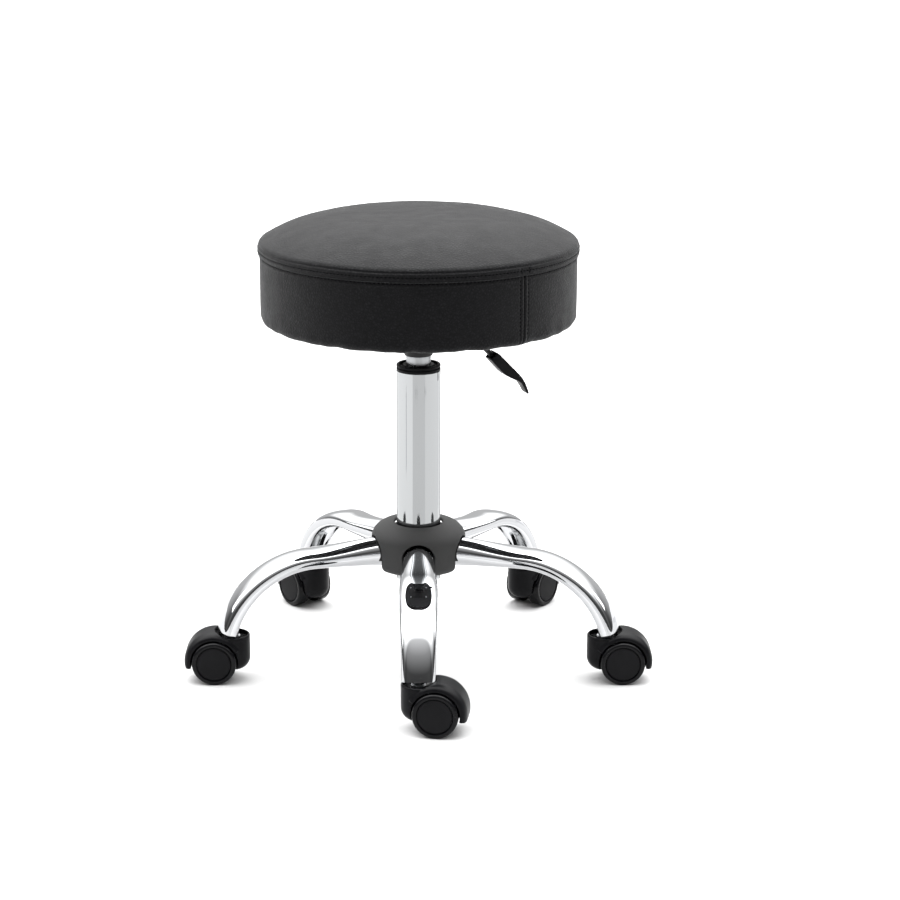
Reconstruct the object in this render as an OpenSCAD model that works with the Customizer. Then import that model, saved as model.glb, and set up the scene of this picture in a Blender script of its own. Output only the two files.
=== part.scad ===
// Rolling stool: a round padded seat on a gas lift, over a five-legged base with twin-wheel casters.
// Millimetres, +Z up. The origin is on the floor, on the axis of the column.

/* [Seat] */
// Seat diameter over the seam at the top edge
seat_d = 355; // [340:1:370]
// Height of the seat top above the floor, with the gas lift at its lowest
seat_top = 520; // [515:1:540]
// Rise of the crowned top above the seam
crown_rise = 41; // [36:1:44]
// Height of the side band, from the seam down to the underside
band_h = 77; // [70:1:78]
// Thickness of the cover material
cover_t = 1.2; // [1:0.1:1.5]
// Thickness of the plywood seat board
board_t = 12; // [10:1:15]

/* [Gas lift] */
// How far the seat rises
stroke = 190; // [150:5:190]
// Outer diameter of the column tube
column_d = 50; // [48:1:52]
// Height of the top of the column tube
column_top = 343; // [338:1:344]
// Outer diameter of the moving cylinder
cylinder_d = 28; // [27:0.5:28]
// Diameter of the piston rod
rod_d = 10; // [8:0.5:10]

/* [Lever] */
// Direction in which the lever points, turned from +X
lever_azimuth = 21.5; // [10:0.5:30]
// How steeply the outer arm and the handle slope down
lever_slope = 46.5; // [42:0.5:50]
// Diameter of the lever rod
lever_d = 6; // [5:0.5:6]
// Length of the handle
handle_l = 65; // [50:1:75]
// Width of the handle
handle_w = 19; // [15:1:24]

/* [Base] */
// Height of the leg centre line at the hub
hub_z = 134; // [132:1:136]
// Diameter of the leg tube at the hub, before it is pressed flat
leg_d = 33.5; // [30:0.5:34]
// Width of the pressed leg at the knee
leg_knee_w = 42; // [38:0.5:44]
// Width of the pressed leg at its end
leg_end_w = 37; // [35:0.5:38]
// Thickness of the pressed leg
leg_flat_h = 20; // [19:0.5:21]
// Where the straight part of the leg ends, from the column axis
leg_straight = 127; // [120:1:130]
// Radius of the knee bend
bend_r = 102; // [101:0.5:103]
// Diameter of the plastic hub cover
hub_cover_d = 107; // [104:1:112]

/* [Casters] */
// Radius of the circle that the caster stems stand on
stem_circle_r = 219.5; // [217:0.5:220]
// Wheel diameter
wheel_d = 50; // [50:1:51]
// Distance from the stem axis back to the axle
trail = 20.5; // [20:0.5:21]
// Way that each caster points, turned from +X
caster_yaw = [-8.5, 0, 54, 126, 180]; // [-360:0.5:360]
// Diameter of the axle
axle_d = 6; // [5:0.5:6]
// Diameter of the stem
stem_d = 11; // [10:0.5:11]

/* [Hidden] */

$fn = 64;
eps = 0.1;
run_fit = 0.05;       // radial clearance of a running fit
press_fit = 0.02;     // radial clearance of a part that is pressed or welded in place

chrome = "#c8cbce";
steel = "#8d9094";
zinc = "#b9bcc0";
black_plastic = "#242528";
black_steel = "#1c1d1f";
leather = "#1f2022";

// Seat levels, from the top down
seat_r = seat_d / 2;
band_r = seat_r - 2;
seam_z = seat_top - crown_rise;
base_z = seam_z - band_h;
board_z = base_z + cover_t + 0.1;
board_r = 162;
flat_top_r = 30;
shoulder_w = 8;
shoulder_h = 12;
rim_h = 6;
bottom_round = 13;
plate_t = 3;
plate_w = 150;
plate_top = base_z - 1;
plate_z = plate_top - plate_t;
bolt_place = 58;
bolt_d = 6;

// Lever and release button
lever_z = plate_z - 6;
pivot_x = 32;
lever_pin_d = 4;
lever_inner_end = -8;
button_d = 9;
button_top = lever_z - lever_d / 2;
handle_x = 88.9;
handle_z = lever_z - 40;
bend_in_r = 10;
lever_bend_x = handle_x - (lever_z - handle_z) / tan(lever_slope);

// Gas lift levels
tube_wall = 1.5;
tube_foot = 98;
collar_h = 7;
bush_top = column_top + collar_h;
bush_bottom = bush_top - 54;
cylinder_top = button_top - 4;
lip_z = bush_top + 10;
cylinder_bore = cylinder_d - 4;
cylinder_foot = 110;
taper_top_d = cylinder_d - 2;
socket_d = cylinder_d + 4;
race_z = tube_foot + 3;
ball_d = 4;
race_t = 1.5;

// Leg: a straight run, then an arc about a point below it
leg_azimuth = [for (i = [0:4]) -90 + 72 * i];
leg_wall = 1.5;
bend_angle = 75.5;
sleeve_r = 28.5;
crush_start = 45;
crush_end = 130;
groove_depth = 13;
straight_rings = 7;
bend_rings = 11;
top_points = 10;
low_points = 14;

// Caster, with its stem on the Z axis and its wheels trailing to +X
wheel_r = wheel_d / 2;
rim_z = 54;
neck_r = 19;
web_half = 7.6;
wheel_in = 8.2;
wheel_out = 23.5;
hood_r = 34;
hood_inner_r = wheel_r + 1.4;
hood_half = 20.8;
boss_z = 50;
socket_foot = 53.6;
socket_top = 64.4;
stem_foot = 34.2;

// ---------- small helpers ----------

function smooth(t) = let (c = max(0, min(1, t))) c * c * (3 - 2 * c);

function signed_power(v, e) = sign(v) * pow(abs(v), e);

function arc_points(cx, cy, r, a0, a1, n) =
    [for (k = [0:n]) let (a = a0 + (a1 - a0) * k / n) [cx + r * cos(a), cy + r * sin(a)]];

module ring(r_out, r_in, h) {
    difference() {
        cylinder(r = r_out, h = h);
        translate([0, 0, -eps]) cylinder(r = r_in, h = h + 2 * eps);
    }
}

// Lies along Y, centred
module cross_pin(d, l) {
    rotate([90, 0, 0]) cylinder(d = d, h = l, center = true);
}

module at_lever() {
    rotate([0, 0, lever_azimuth]) children();
}

module at_leg(i) {
    rotate([0, 0, leg_azimuth[i]]) children();
}

module at_caster(i) {
    at = leg_azimuth[i];
    translate([stem_circle_r * cos(at), stem_circle_r * sin(at), 0])
        rotate([0, 0, caster_yaw[i]]) children();
}

module at_bolts() {
    for (sx = [-1, 1], sy = [-1, 1]) translate([sx * bolt_place, sy * bolt_place, 0]) children();
}

// ---------- column and hub ----------

module outer_tube() {
    color(chrome) translate([0, 0, tube_foot])
        ring(column_d / 2, column_d / 2 - tube_wall, column_top - tube_foot);
}

// Guide sleeve inside the tube, with a collar of two rims and a sunk ring on top
module column_bush() {
    bore = cylinder_d / 2 + run_fit;
    out = column_d / 2 - 0.2;
    guide = column_d / 2 - tube_wall - press_fit;
    color(black_plastic) rotate_extrude() polygon([
        [bore, bush_bottom], [guide, bush_bottom], [guide, column_top + 0.05],
        [out - 0.8, column_top + 0.05], [out, column_top + 0.8], [out, column_top + 2.6],
        [out - 1.2, column_top + 3.2], [out - 1.2, column_top + 3.8], [out, column_top + 4.4],
        [out, bush_top - 0.8], [out - 0.8, bush_top], [out - 2.6, bush_top],
        [out - 3.2, bush_top - 2.4], [bore + 4, bush_top - 2.4], [bore + 3.4, bush_top - 0.6],
        [bore + 0.4, bush_top - 0.6], [bore, bush_top - 1]]);
}

module hub_sleeve() {
    color(black_steel) translate([0, 0, hub_z - 22])
        ring(sleeve_r, column_d / 2 + press_fit, 48);
}

// Domed cover with an arch over each leg
module hub_cover() {
    r = hub_cover_d / 2;
    foot = hub_z - 20.5;
    shoulder = hub_z + 14;
    dome_h = 18;
    hole = column_d / 2 + 2.4;
    wall = 2.4;
    color(black_plastic) difference() {
        rotate_extrude($fn = 96) polygon(concat(
            [[r - 2.2, foot]],
            [for (k = [0:10]) let (a = 9 * k)
                [hole + 2 + (r - hole - 2) * cos(a), shoulder + dome_h * sin(a)]],
            [[hole, shoulder + dome_h - 1.2], [hole, shoulder + dome_h - 3.6]],
            [for (k = [0:10]) let (a = 90 - 9 * k)
                [hole + 2 + (r - wall - hole - 2) * cos(a), shoulder + (dome_h - wall) * sin(a)]],
            [[r - 2.2 - wall, foot]]));
        for (i = [0:4]) at_leg(i) {
            translate([34, 0, hub_z]) rotate([0, 90, 0]) cylinder(r = leg_d / 2 + 2.2, h = 30);
            translate([34, -leg_d / 2 - 2.2, foot - 1]) cube([30, leg_d + 4.4, hub_z - foot + 1]);
        }
    }
}

module tube_base_disc() {
    color(steel) translate([0, 0, tube_foot])
        ring(column_d / 2 - tube_wall - press_fit, rod_d / 2 + 0.3, 3);
}

module bearing_race(z) {
    translate([0, 0, z]) ring(12, rod_d / 2 + 0.3, race_t);
}

module bearing_lower_race() {
    color(zinc) bearing_race(race_z);
}

module bearing_balls() {
    color(zinc) for (k = [0:9]) rotate([0, 0, 36 * k])
        translate([8.6, 0, race_z + race_t + ball_d / 2]) sphere(d = ball_d, $fn = 24);
}

// ---------- legs ----------

// Share of the way from a round tube to the pressed shape, at radius x along the leg
function crush(x) = smooth((x - crush_start) / (crush_end - crush_start));

// How far the groove under the leg has risen, at a share u of the half width
function groove(u) = 1 - smooth((u - 0.26) / 0.5);

// Outline of the leg, [across, outward], with c from round to pressed
function leg_outline(w, h, c) = concat(
    [for (k = [0:top_points - 1]) let (a = 180 * k / top_points) [w / 2 * cos(a), h / 2 * sin(a)]],
    [for (k = [0:low_points - 1]) let (
        a = 180 + 180 * k / low_points,
        e = 1 - 0.35 * c,
        x = w / 2 * signed_power(cos(a), e),
        y = h / 2 * signed_power(sin(a), e))
        [x, y + c * groove_depth * groove(abs(x) / (w / 2)) * pow(abs(sin(a)), 0.5)]]);

function unit(v) = v / norm(v);

// The same outline moved inward by the wall
function inner_outline(pts, wall) = let (n = len(pts))
    [for (k = [0:n - 1]) let (d = unit(pts[(k + 1) % n] - pts[(k + n - 1) % n]))
        pts[k] + wall * [-d[1], d[0]]];

// Stations along the leg: [radius, height, slope, share of the bend]
leg_stations = concat(
    [for (k = [0:straight_rings - 1]) let (t = k / straight_rings)
        [sleeve_r + 0.2 + (leg_straight - sleeve_r - 0.2) * t, hub_z, 0, 0]],
    [for (k = [0:bend_rings]) let (a = bend_angle * k / bend_rings)
        [leg_straight + bend_r * sin(a), hub_z - bend_r * (1 - cos(a)), a, k / bend_rings]]);

function leg_width(x, b) = leg_d + (leg_knee_w - leg_d) * crush(x)
    - (leg_knee_w - leg_end_w) * smooth((b - 0.3) / 0.7);

function leg_height(x) = leg_d - (leg_d - leg_flat_h) * crush(x);

// One ring of points, standing square to the leg's centre line
function leg_ring(s, wall) = let (
    c = crush(s[0]),
    flat = leg_outline(leg_width(s[0], s[3]), leg_height(s[0]), c),
    pts = wall > 0 ? inner_outline(flat, wall) : flat)
    [for (p = pts) [s[0] + p[1] * sin(s[2]), p[0], s[1] + p[1] * cos(s[2])]];

// A hollow tube with open ends, swept through the stations
module leg_tube() {
    m = len(leg_stations);
    n = top_points + low_points;
    outer = [for (s = leg_stations) each leg_ring(s, 0)];
    inner = [for (s = leg_stations) each leg_ring(s, leg_wall)];
    off = m * n;
    walls = [for (j = [0:m - 2], k = [0:n - 1]) let (
        a = j * n + k, b = j * n + (k + 1) % n, c = a + n, d = b + n)
        each [[a, c, b], [b, c, d], [off + a, off + b, off + c], [off + b, off + d, off + c]]];
    ends = [for (k = [0:n - 1]) let (
        a = k, b = (k + 1) % n, c = (m - 1) * n + a, d = (m - 1) * n + b)
        each [[a, b, off + a], [b, off + b, off + a], [c, off + c, d], [d, off + c, off + d]]];
    polyhedron(points = concat(outer, inner), faces = concat(walls, ends), convexity = 6);
}

module leg(i) {
    color(chrome) at_leg(i) leg_tube();
}

// Radius about the bend centre of the bottom of the groove
groove_floor = bend_r - leg_flat_h / 2 + groove_depth;

// An arc that follows the groove, band by band, in the leg's own plane
module groove_band(r_in, r_out, a0, a1, w) {
    translate([leg_straight, 0, hub_z - bend_r]) rotate([90, 0, 0]) rotate([0, 0, 90 - a1])
        rotate_extrude(angle = a1 - a0, $fn = 96) translate([r_in, -w / 2]) square([r_out - r_in, w]);
}

// Sleeves that take the caster stems, each on a strap that is screwed into the groove
module stem_sockets() {
    color(zinc) for (i = [0:4]) at_leg(i) difference() {
        union() {
            translate([stem_circle_r, 0, socket_foot]) cylinder(r = 6.8, h = socket_top - socket_foot);
            groove_band(groove_floor - 4.6, groove_floor - 1.2, 44, 69, 8.2);
        }
        translate([stem_circle_r, 0, socket_foot - eps])
            cylinder(d = stem_d + 2 * press_fit, h = socket_top - socket_foot + 1);
    }
}

module socket_screws() {
    screw_a = 48;
    color(zinc) for (i = [0:4]) at_leg(i)
        translate([leg_straight, 0, hub_z - bend_r]) rotate([0, screw_a, 0])
            translate([0, 0, groove_floor - 4.7]) mirror([0, 0, 1]) difference() {
                rotate_extrude() polygon(concat([[0, 0]],
                    [for (k = [0:6]) [4.6 * cos(15 * k), 3 * sin(15 * k)]]));
                for (q = [0, 90]) rotate([0, 0, q]) translate([-2.2, -0.5, 1.8]) cube([4.4, 1, 3]);
            }
}

// ---------- casters ----------

module caster_stem() {
    difference() {
        union() {
            translate([0, 0, stem_foot]) cylinder(d = stem_d, h = socket_top - 0.4 - stem_foot);
            translate([0, 0, boss_z + 0.3]) cylinder(r = 8, h = 1.8);
        }
        translate([0, 0, socket_top - 1.4]) ring(stem_d, stem_d / 2 - 0.6, 2);
    }
}

// Section of the hood, [radius from the axle, across]
function hood_section() = let (r = hood_r, e = hood_half) [
    [8, -e], [r - 6, -e],
    [r - 3.4, -e + 1], [r - 1.4, -e + 3.2], [r - 0.4, -e + 6.4], [r, -e + 11],
    [r, e - 11], [r - 0.4, e - 6.4], [r - 1.4, e - 3.2], [r - 3.4, e - 1],
    [r - 6, e], [8, e]];

module wheel_space(side) {
    translate([trail, side * web_half, wheel_r]) rotate([-90 * side, 0, 0])
        cylinder(r = hood_inner_r, h = 30, $fn = 96);
}

module caster_housing() {
    difference() {
        union() {
            translate([trail, 0, wheel_r]) rotate([90, 0, 0]) rotate([0, 0, -13])
                rotate_extrude(angle = 165, $fn = 96) polygon(hood_section());
            translate([trail, 0, wheel_r]) rotate([90, 0, 0])
                cylinder(r = wheel_r - 4, h = 2 * web_half + 3, center = true);
            rotate_extrude() polygon(concat(
                [[0, 13]], arc_points(5, 27, 14, -90, 0, 8), [[neck_r, rim_z - 0.8],
                [neck_r - 0.8, rim_z], [0, rim_z]]));
        }
        wheel_space(1);
        wheel_space(-1);
        translate([0, 0, rim_z + 0.02]) cylinder(r = neck_r + 1.4, h = 20);
        difference() {
            rotate_extrude() polygon([[7.4, boss_z - 2], [neck_r - 2.2, boss_z - 2],
                [neck_r - 2.2, rim_z + 2], [0, rim_z + 2], [0, boss_z], [7.4, boss_z]]);
            for (q = [0:5]) rotate([0, 0, 60 * q + 30])
                translate([6, -0.8, boss_z - 3]) cube([12, 1.6, 2.6]);
        }
        translate([0, 0, stem_foot - 0.3]) cylinder(d = stem_d + 2 * run_fit, h = 30);
        translate([trail, 0, wheel_r]) cross_pin(axle_d + 2 * press_fit, 30);
    }
}

module caster_axle() {
    translate([trail, 0, wheel_r]) cross_pin(axle_d, 2 * (wheel_out - 3));
}

// Dished disc with a rounded tread edge and a ring groove in its face
module caster_wheel(side) {
    r = wheel_r;
    w = wheel_out - wheel_in;
    translate([trail, side * wheel_in, wheel_r]) rotate([-90 * side, 0, 0])
        rotate_extrude($fn = 96) polygon(concat(
            [[axle_d / 2 + run_fit, 0], [9, 0], [10, 2.5], [18, 2.5], [19, 0], [r - 1, 0], [r, 1]],
            arc_points(r - 3.2, w - 3.2, 3.2, 0, 80, 6),
            [[r - 4.9, w - 0.2], [r - 5.2, w - 1.1], [r - 5.8, w - 1.1], [r - 6.1, w - 0.3],
             [r - 9, w], [0, w], [0, w - 2.6], [axle_d / 2 + run_fit, w - 2.6]]));
}

// ---------- gas lift ----------

module piston_rod() {
    color(chrome) difference() {
        translate([0, 0, tube_foot - 6]) cylinder(d = rod_d, h = bush_bottom + 32 - tube_foot);
        translate([0, 0, tube_foot - 3.2]) ring(rod_d, rod_d / 2 - 0.8, 1.4);
    }
}

piston_z = bush_bottom + 16;

module piston() {
    color(black_steel) translate([0, 0, piston_z]) difference() {
        ring(cylinder_bore / 2 - run_fit, rod_d / 2 + press_fit, 10);
        translate([0, 0, 4]) ring(cylinder_bore, cylinder_bore / 2 - 1.4, 2);
    }
}

module bearing_upper_race() {
    color(zinc) bearing_race(race_z + race_t + ball_d + 0.1);
}

// Spring clip in the groove at the foot of the rod
module rod_clip() {
    color(zinc) translate([0, 0, tube_foot - 3.1]) difference() {
        ring(9, rod_d / 2 - 0.78, 1.2);
        translate([3, -2, -eps]) cube([10, 4, 2]);
    }
}

module gas_cylinder() {
    r = cylinder_d / 2;
    b = cylinder_bore / 2;
    color(zinc) rotate_extrude() polygon([
        [b, cylinder_foot], [r - 0.6, cylinder_foot], [r, cylinder_foot + 0.6], [r, lip_z + 1.4],
        [taper_top_d / 2, cylinder_top - 0.5], [taper_top_d / 2 - 0.5, cylinder_top],
        [button_d / 2 + run_fit, cylinder_top], [button_d / 2 + run_fit, cylinder_top - 12],
        [0, cylinder_top - 12], [0, piston_z + 30], [b, piston_z + 30]]);
}

module cylinder_seal() {
    color(black_plastic) translate([0, 0, cylinder_foot + 0.5])
        ring(cylinder_bore / 2 - press_fit, rod_d / 2 + run_fit, 9);
}

module release_button() {
    color(zinc) translate([0, 0, cylinder_top - 8]) rotate_extrude() polygon([
        [0, 0], [button_d / 2, 0], [button_d / 2, button_top - cylinder_top + 6.4],
        [1.8, button_top - cylinder_top + 7.9], [0, button_top - cylinder_top + 7.9]]);
}

// ---------- seat mechanism ----------

// Conical cup under the plate, open at one side where the lever comes out
module taper_socket() {
    r = socket_d / 2;
    b0 = cylinder_d / 2 + press_fit;
    b1 = taper_top_d / 2 + press_fit;
    color(black_steel) difference() {
        rotate_extrude() polygon([
            [b0, lip_z + 1.3], [b0 + 0.3, lip_z], [b0 + 0.9, lip_z], [r - 0.4, lip_z + 2.4],
            [r, lip_z + 5], [r + 1.5, plate_z - 8], [r + 6, plate_z - 0.05],
            [b1 + 0.8, plate_z - 0.05], [b1, cylinder_top]]);
        at_lever() translate([0, -lever_d / 2 - 1, lever_z - lever_d / 2 - 3.4])
            cube([40, lever_d + 2, 30]);
    }
}

module mounting_plate() {
    half = plate_w / 2;
    color(black_steel) difference() {
        translate([0, 0, plate_z]) union() {
            translate([-half + 14, -half, 0]) cube([plate_w - 28, plate_w, plate_t]);
            translate([-half, -half + 14, 0]) cube([plate_w, plate_w - 28, plate_t]);
            for (sx = [-1, 1], sy = [-1, 1])
                translate([sx * (half - 14), sy * (half - 14), 0]) cylinder(r = 14, h = plate_t);
            for (s = [-1, 1]) translate([-half + 20, s * (half - 5.5) - 1.5, -4]) cube([plate_w - 40, 3, 5]);
        }
        translate([0, 0, plate_z - eps]) cylinder(r = 9, h = plate_t + 1);
        at_bolts() translate([0, 0, plate_z - 1]) {
            for (s = [-3, 3]) translate([s, 0, 0]) cylinder(d = bolt_d + 0.6, h = plate_t + 2);
            translate([-3, -bolt_d / 2 - 0.3, 0]) cube([6, bolt_d + 0.6, plate_t + 2]);
        }
    }
}

// Two ears that hang from the plate and carry the pivot pin
module lever_bracket() {
    ear_in = 6.2;
    color(black_steel) at_lever() difference() {
        for (s = [-1, 1]) {
            translate([pivot_x - 5, s > 0 ? ear_in : -ear_in - 2.5, lever_z])
                cube([10, 2.5, plate_z - 0.05 - lever_z]);
            translate([pivot_x, s * (ear_in + 1.25), lever_z]) cross_pin(10, 2.5);
        }
        translate([pivot_x, 0, lever_z]) cross_pin(lever_pin_d + 2 * press_fit, 30);
    }
}

module lever_pin() {
    color(zinc) at_lever() translate([pivot_x, 0, lever_z]) {
        cross_pin(lever_pin_d, 20);
        for (s = [-1, 1]) translate([0, s * 10, 0]) cross_pin(lever_pin_d + 3, 1.6);
    }
}

module plate_bolts() {
    color(zinc) at_bolts() {
        translate([0, 0, plate_z - 4.1]) cylinder(d = 10 / cos(30), h = 3, $fn = 6);
        translate([0, 0, plate_z - 1.15]) cylinder(d = 14, h = 1.1);
        translate([0, 0, plate_z - 0.2]) cylinder(d = bolt_d - 0.2, h = plate_t + board_t + 1);
    }
}

module tee_nuts() {
    top = board_z + board_t;
    color(zinc) at_bolts() difference() {
        union() {
            translate([0, 0, top + 0.05]) cylinder(d = 18, h = 1.2);
            translate([0, 0, top - 8]) cylinder(d = 8, h = 8.1);
        }
        translate([0, 0, top - 9]) cylinder(d = bolt_d, h = 12);
    }
}

module seat_board() {
    color("#c49a6c") difference() {
        translate([0, 0, board_z]) cylinder(r = board_r, h = board_t, $fn = 96);
        at_bolts() {
            translate([0, 0, board_z - 1]) cylinder(d = bolt_d + 0.4, h = board_t + 2);
            translate([0, 0, board_z + board_t - 8.2]) cylinder(d = 8.1, h = 10);
        }
    }
}

// ---------- cushion ----------

// Height of the crowned top at a share t of the way from its flat middle to its shoulder
function crown_z(t) = seat_top - (crown_rise - rim_h - shoulder_h) * pow(t, 2.2);

// Outline from the flat middle over the shoulder and down the rim to the seam, grown by d
function crown(d) = concat(
    [for (k = [0:7]) let (t = k / 7)
        [flat_top_r + (seat_r - shoulder_w - flat_top_r) * t, crown_z(t) + d]],
    [for (k = [1:5]) let (a = 90 - 18 * k)
        [seat_r - shoulder_w + (shoulder_w + d) * cos(a), seam_z + rim_h + (shoulder_h + d) * sin(a)]],
    [[seat_r + d, seam_z]]);

module seat_foam() {
    foot = board_z + board_t + 1.5;
    r = band_r - cover_t - 0.3;
    color("#d8cf9a") rotate_extrude($fn = 96) polygon(concat(
        [[0, foot], [r, foot], [r, seam_z - 2]],
        [for (k = [13:-1:0]) crown(-4)[k]],
        [[0, seat_top - 4]]));
}

module cover_top_panel() {
    color(leather) rotate_extrude($fn = 96) polygon(concat(
        [[0, seat_top]], crown(0), [[seat_r, seam_z - 2], [seat_r - cover_t - 0.4, seam_z - 2]],
        [for (k = [13:-1:0]) crown(-cover_t - 0.4)[k]], [[0, seat_top - cover_t - 0.4]]));
}

// Side band, turned under the edge of the board
module cover_side_band() {
    r = band_r;
    q = bottom_round;
    color(leather) rotate_extrude($fn = 96) polygon(concat(
        [[r - cover_t, seam_z - 2.1], [r, seam_z - 2.1]],
        arc_points(r - q, base_z + q, q, 0, -90, 8),
        [[board_r - 26, base_z], [board_r - 26, base_z + cover_t]],
        arc_points(r - q, base_z + q, q - cover_t, -90, 0, 8)));
}

module dust_cover() {
    color("#2b2b2d") translate([0, 0, base_z - 0.7]) difference() {
        cylinder(r = board_r - 8, h = 0.6, $fn = 96);
        at_bolts() translate([0, 0, -1]) cylinder(d = bolt_d + 0.4, h = 3);
    }
}

module cover_staples() {
    count = 30;
    color(zinc) for (k = [0:count - 1]) rotate([0, 0, 360 * k / count + 4])
        translate([board_r - 13, -5, base_z - 1.35]) cube([1, 10, 0.6]);
}

// ---------- lever ----------

// Rod in the lever's plane: a level inner arm, a bend, and an outer arm that slopes down
module lever_rod() {
    back = bend_in_r * tan(lever_slope / 2);
    level_end = lever_bend_x - back;
    outer_l = (lever_z - handle_z) / sin(lever_slope) - back + 26;
    color(black_steel) at_lever() difference() {
        union() {
            translate([lever_inner_end, 0, lever_z]) rotate([0, 90, 0])
                cylinder(d = lever_d, h = level_end - lever_inner_end);
            translate([level_end, 0, lever_z - bend_in_r]) rotate([90, 0, 0])
                rotate([0, 0, 90 - lever_slope]) rotate_extrude(angle = lever_slope)
                    translate([bend_in_r, 0]) circle(d = lever_d + 0.04);
            translate([level_end, 0, lever_z - bend_in_r]) rotate([0, lever_slope, 0])
                translate([0, 0, bend_in_r]) rotate([0, 90, 0]) cylinder(d = lever_d, h = outer_l);
            translate([pivot_x, 0, lever_z]) cross_pin(10, 12);
        }
        translate([pivot_x, 0, lever_z]) cross_pin(lever_pin_d + 2 * run_fit, 30);
    }
}

// Side outline of the handle, [along, up], with the root at the origin
function handle_side() = let (l = handle_l) [
    [0, -5.4], [0, 5.4], [2, 5.9], [l * 0.62, 6.4], [l * 0.8, 4.4], [l, -0.6], [l - 0.8, -2.2],
    [l * 0.92, -1.6], [l * 0.74, 1.2], [l * 0.6, -1.8], [l * 0.5, -3.8], [l * 0.4, -5.6], [l * 0.34, -6]];

module lever_handle() {
    color(black_plastic) at_lever() translate([handle_x, 0, handle_z]) rotate([0, lever_slope, 0])
        difference() {
            rotate([90, 0, 0]) linear_extrude(height = handle_w, center = true)
                polygon(handle_side());
            translate([-1, 0, 0]) rotate([0, 90, 0]) cylinder(d = lever_d + 2 * press_fit, h = 28);
            translate([-1, -handle_w / 2 + 1.8, -3.9]) cube([11, handle_w - 3.6, 7.8]);
        }
}

outer_tube();
column_bush();
hub_sleeve();
hub_cover();
tube_base_disc();
bearing_lower_race();
bearing_balls();
stem_sockets();
socket_screws();
for (i = [0:4]) {
    leg(i);
    color(zinc) at_caster(i) caster_stem();
    color(black_plastic) at_caster(i) caster_housing();
    color(steel) at_caster(i) caster_axle();
    color(black_plastic) at_caster(i) caster_wheel(1);
    color(black_plastic) at_caster(i) caster_wheel(-1);
}
piston_rod();
piston();
bearing_upper_race();
rod_clip();
gas_cylinder();
cylinder_seal();
taper_socket();
mounting_plate();
lever_bracket();
lever_pin();
plate_bolts();
tee_nuts();
seat_board();
seat_foam();
cover_top_panel();
cover_side_band();
dust_cover();
cover_staples();
release_button();
lever_rod();
lever_handle();
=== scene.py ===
"""Looks for a rolling stylist stool: padded seat, gas lift, star base of bent tubes and casters.

Each sub-assembly is a class that holds its sizes in millimetres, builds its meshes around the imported
CAD frame and dresses them. Meshes are worked in millimetres and turned to metres when they become pieces.
"""

from __future__ import annotations

import logging
import math
import random
import sys
from collections.abc import Callable, Iterable, Sequence
from dataclasses import dataclass, field
from enum import Enum
from typing import ClassVar

import bmesh
import bpy
from mathutils import Matrix, Vector, kdtree, noise


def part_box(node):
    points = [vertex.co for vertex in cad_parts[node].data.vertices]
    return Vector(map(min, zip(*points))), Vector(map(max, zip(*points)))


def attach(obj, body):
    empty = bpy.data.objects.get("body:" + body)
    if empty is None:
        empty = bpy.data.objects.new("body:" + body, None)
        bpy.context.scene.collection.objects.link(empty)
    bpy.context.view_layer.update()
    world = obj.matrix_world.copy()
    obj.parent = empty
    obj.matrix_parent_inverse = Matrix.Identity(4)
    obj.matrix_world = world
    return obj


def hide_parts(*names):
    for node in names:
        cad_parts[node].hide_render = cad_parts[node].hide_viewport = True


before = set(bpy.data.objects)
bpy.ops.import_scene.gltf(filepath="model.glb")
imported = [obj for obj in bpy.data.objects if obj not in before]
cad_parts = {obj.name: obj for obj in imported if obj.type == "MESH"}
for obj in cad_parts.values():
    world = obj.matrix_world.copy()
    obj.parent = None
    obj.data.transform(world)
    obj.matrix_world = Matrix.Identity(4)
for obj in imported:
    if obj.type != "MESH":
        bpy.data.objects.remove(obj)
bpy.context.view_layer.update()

LOG = logging.getLogger("stool")
MM = 0.001
TURN = 2 * math.pi

Point = tuple[float, float]
Socket = bpy.types.NodeSocket


class Body(Enum):
    """The moving bodies that pieces ride on."""

    BASE = "base"
    ROD = "rod"
    SEAT = "seat"
    BUTTON = "button"
    LEVER = "lever"


class Slot(Enum):
    """The record's material slots."""

    CHROME = "chromed_tube"
    NYLON = "moulded_black_nylon"
    WHEEL = "wheel_nylon"
    LEATHER = "black_faux_leather"
    FOAM = "cushion_foam"
    PLYWOOD = "birch_plywood"
    BACKING = "nonwoven_backing"
    ENAMEL = "black_enamelled_steel"
    RUBBER = "seal_rubber"
    ROD = "ground_steel_rod"
    SATIN = "satin_steel"
    ZINC = "zinc_plated_steel"


class Side(Enum):
    """The two wheels of a caster, by the way they stand along its axle."""

    LEFT = 1
    RIGHT = -1


# ---------- small helpers ----------


def ease(t: float) -> float:
    """Return t clamped to 0..1 and eased at both ends."""
    c = max(0.0, min(1.0, t))
    return c * c * (3 - 2 * c)


def bump_at(x: float, centre: float, width: float) -> float:
    """Return a smooth hump of height 1 at centre that dies away over width."""
    return math.exp(-(((x - centre) / width) ** 2))


def arc(
    cx: float, cy: float, rx: float, ry: float, start: float, stop: float, steps: int
) -> list[Point]:
    """List the points of an elliptical arc.

    Args:
        cx, cy: centre.
        rx, ry: half axes.
        start, stop: angles in degrees.
        steps: number of chords.

    Returns:
        The points from start to stop, both included.
    """
    turns = (math.radians(start + (stop - start) * k / steps) for k in range(steps + 1))
    return [(cx + rx * math.cos(a), cy + ry * math.sin(a)) for a in turns]


def box_mm(node: str) -> tuple[Vector, Vector]:
    """Return the lowest and highest corners of a CAD node in millimetres."""
    low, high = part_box(node)
    return low / MM, high / MM


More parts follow.
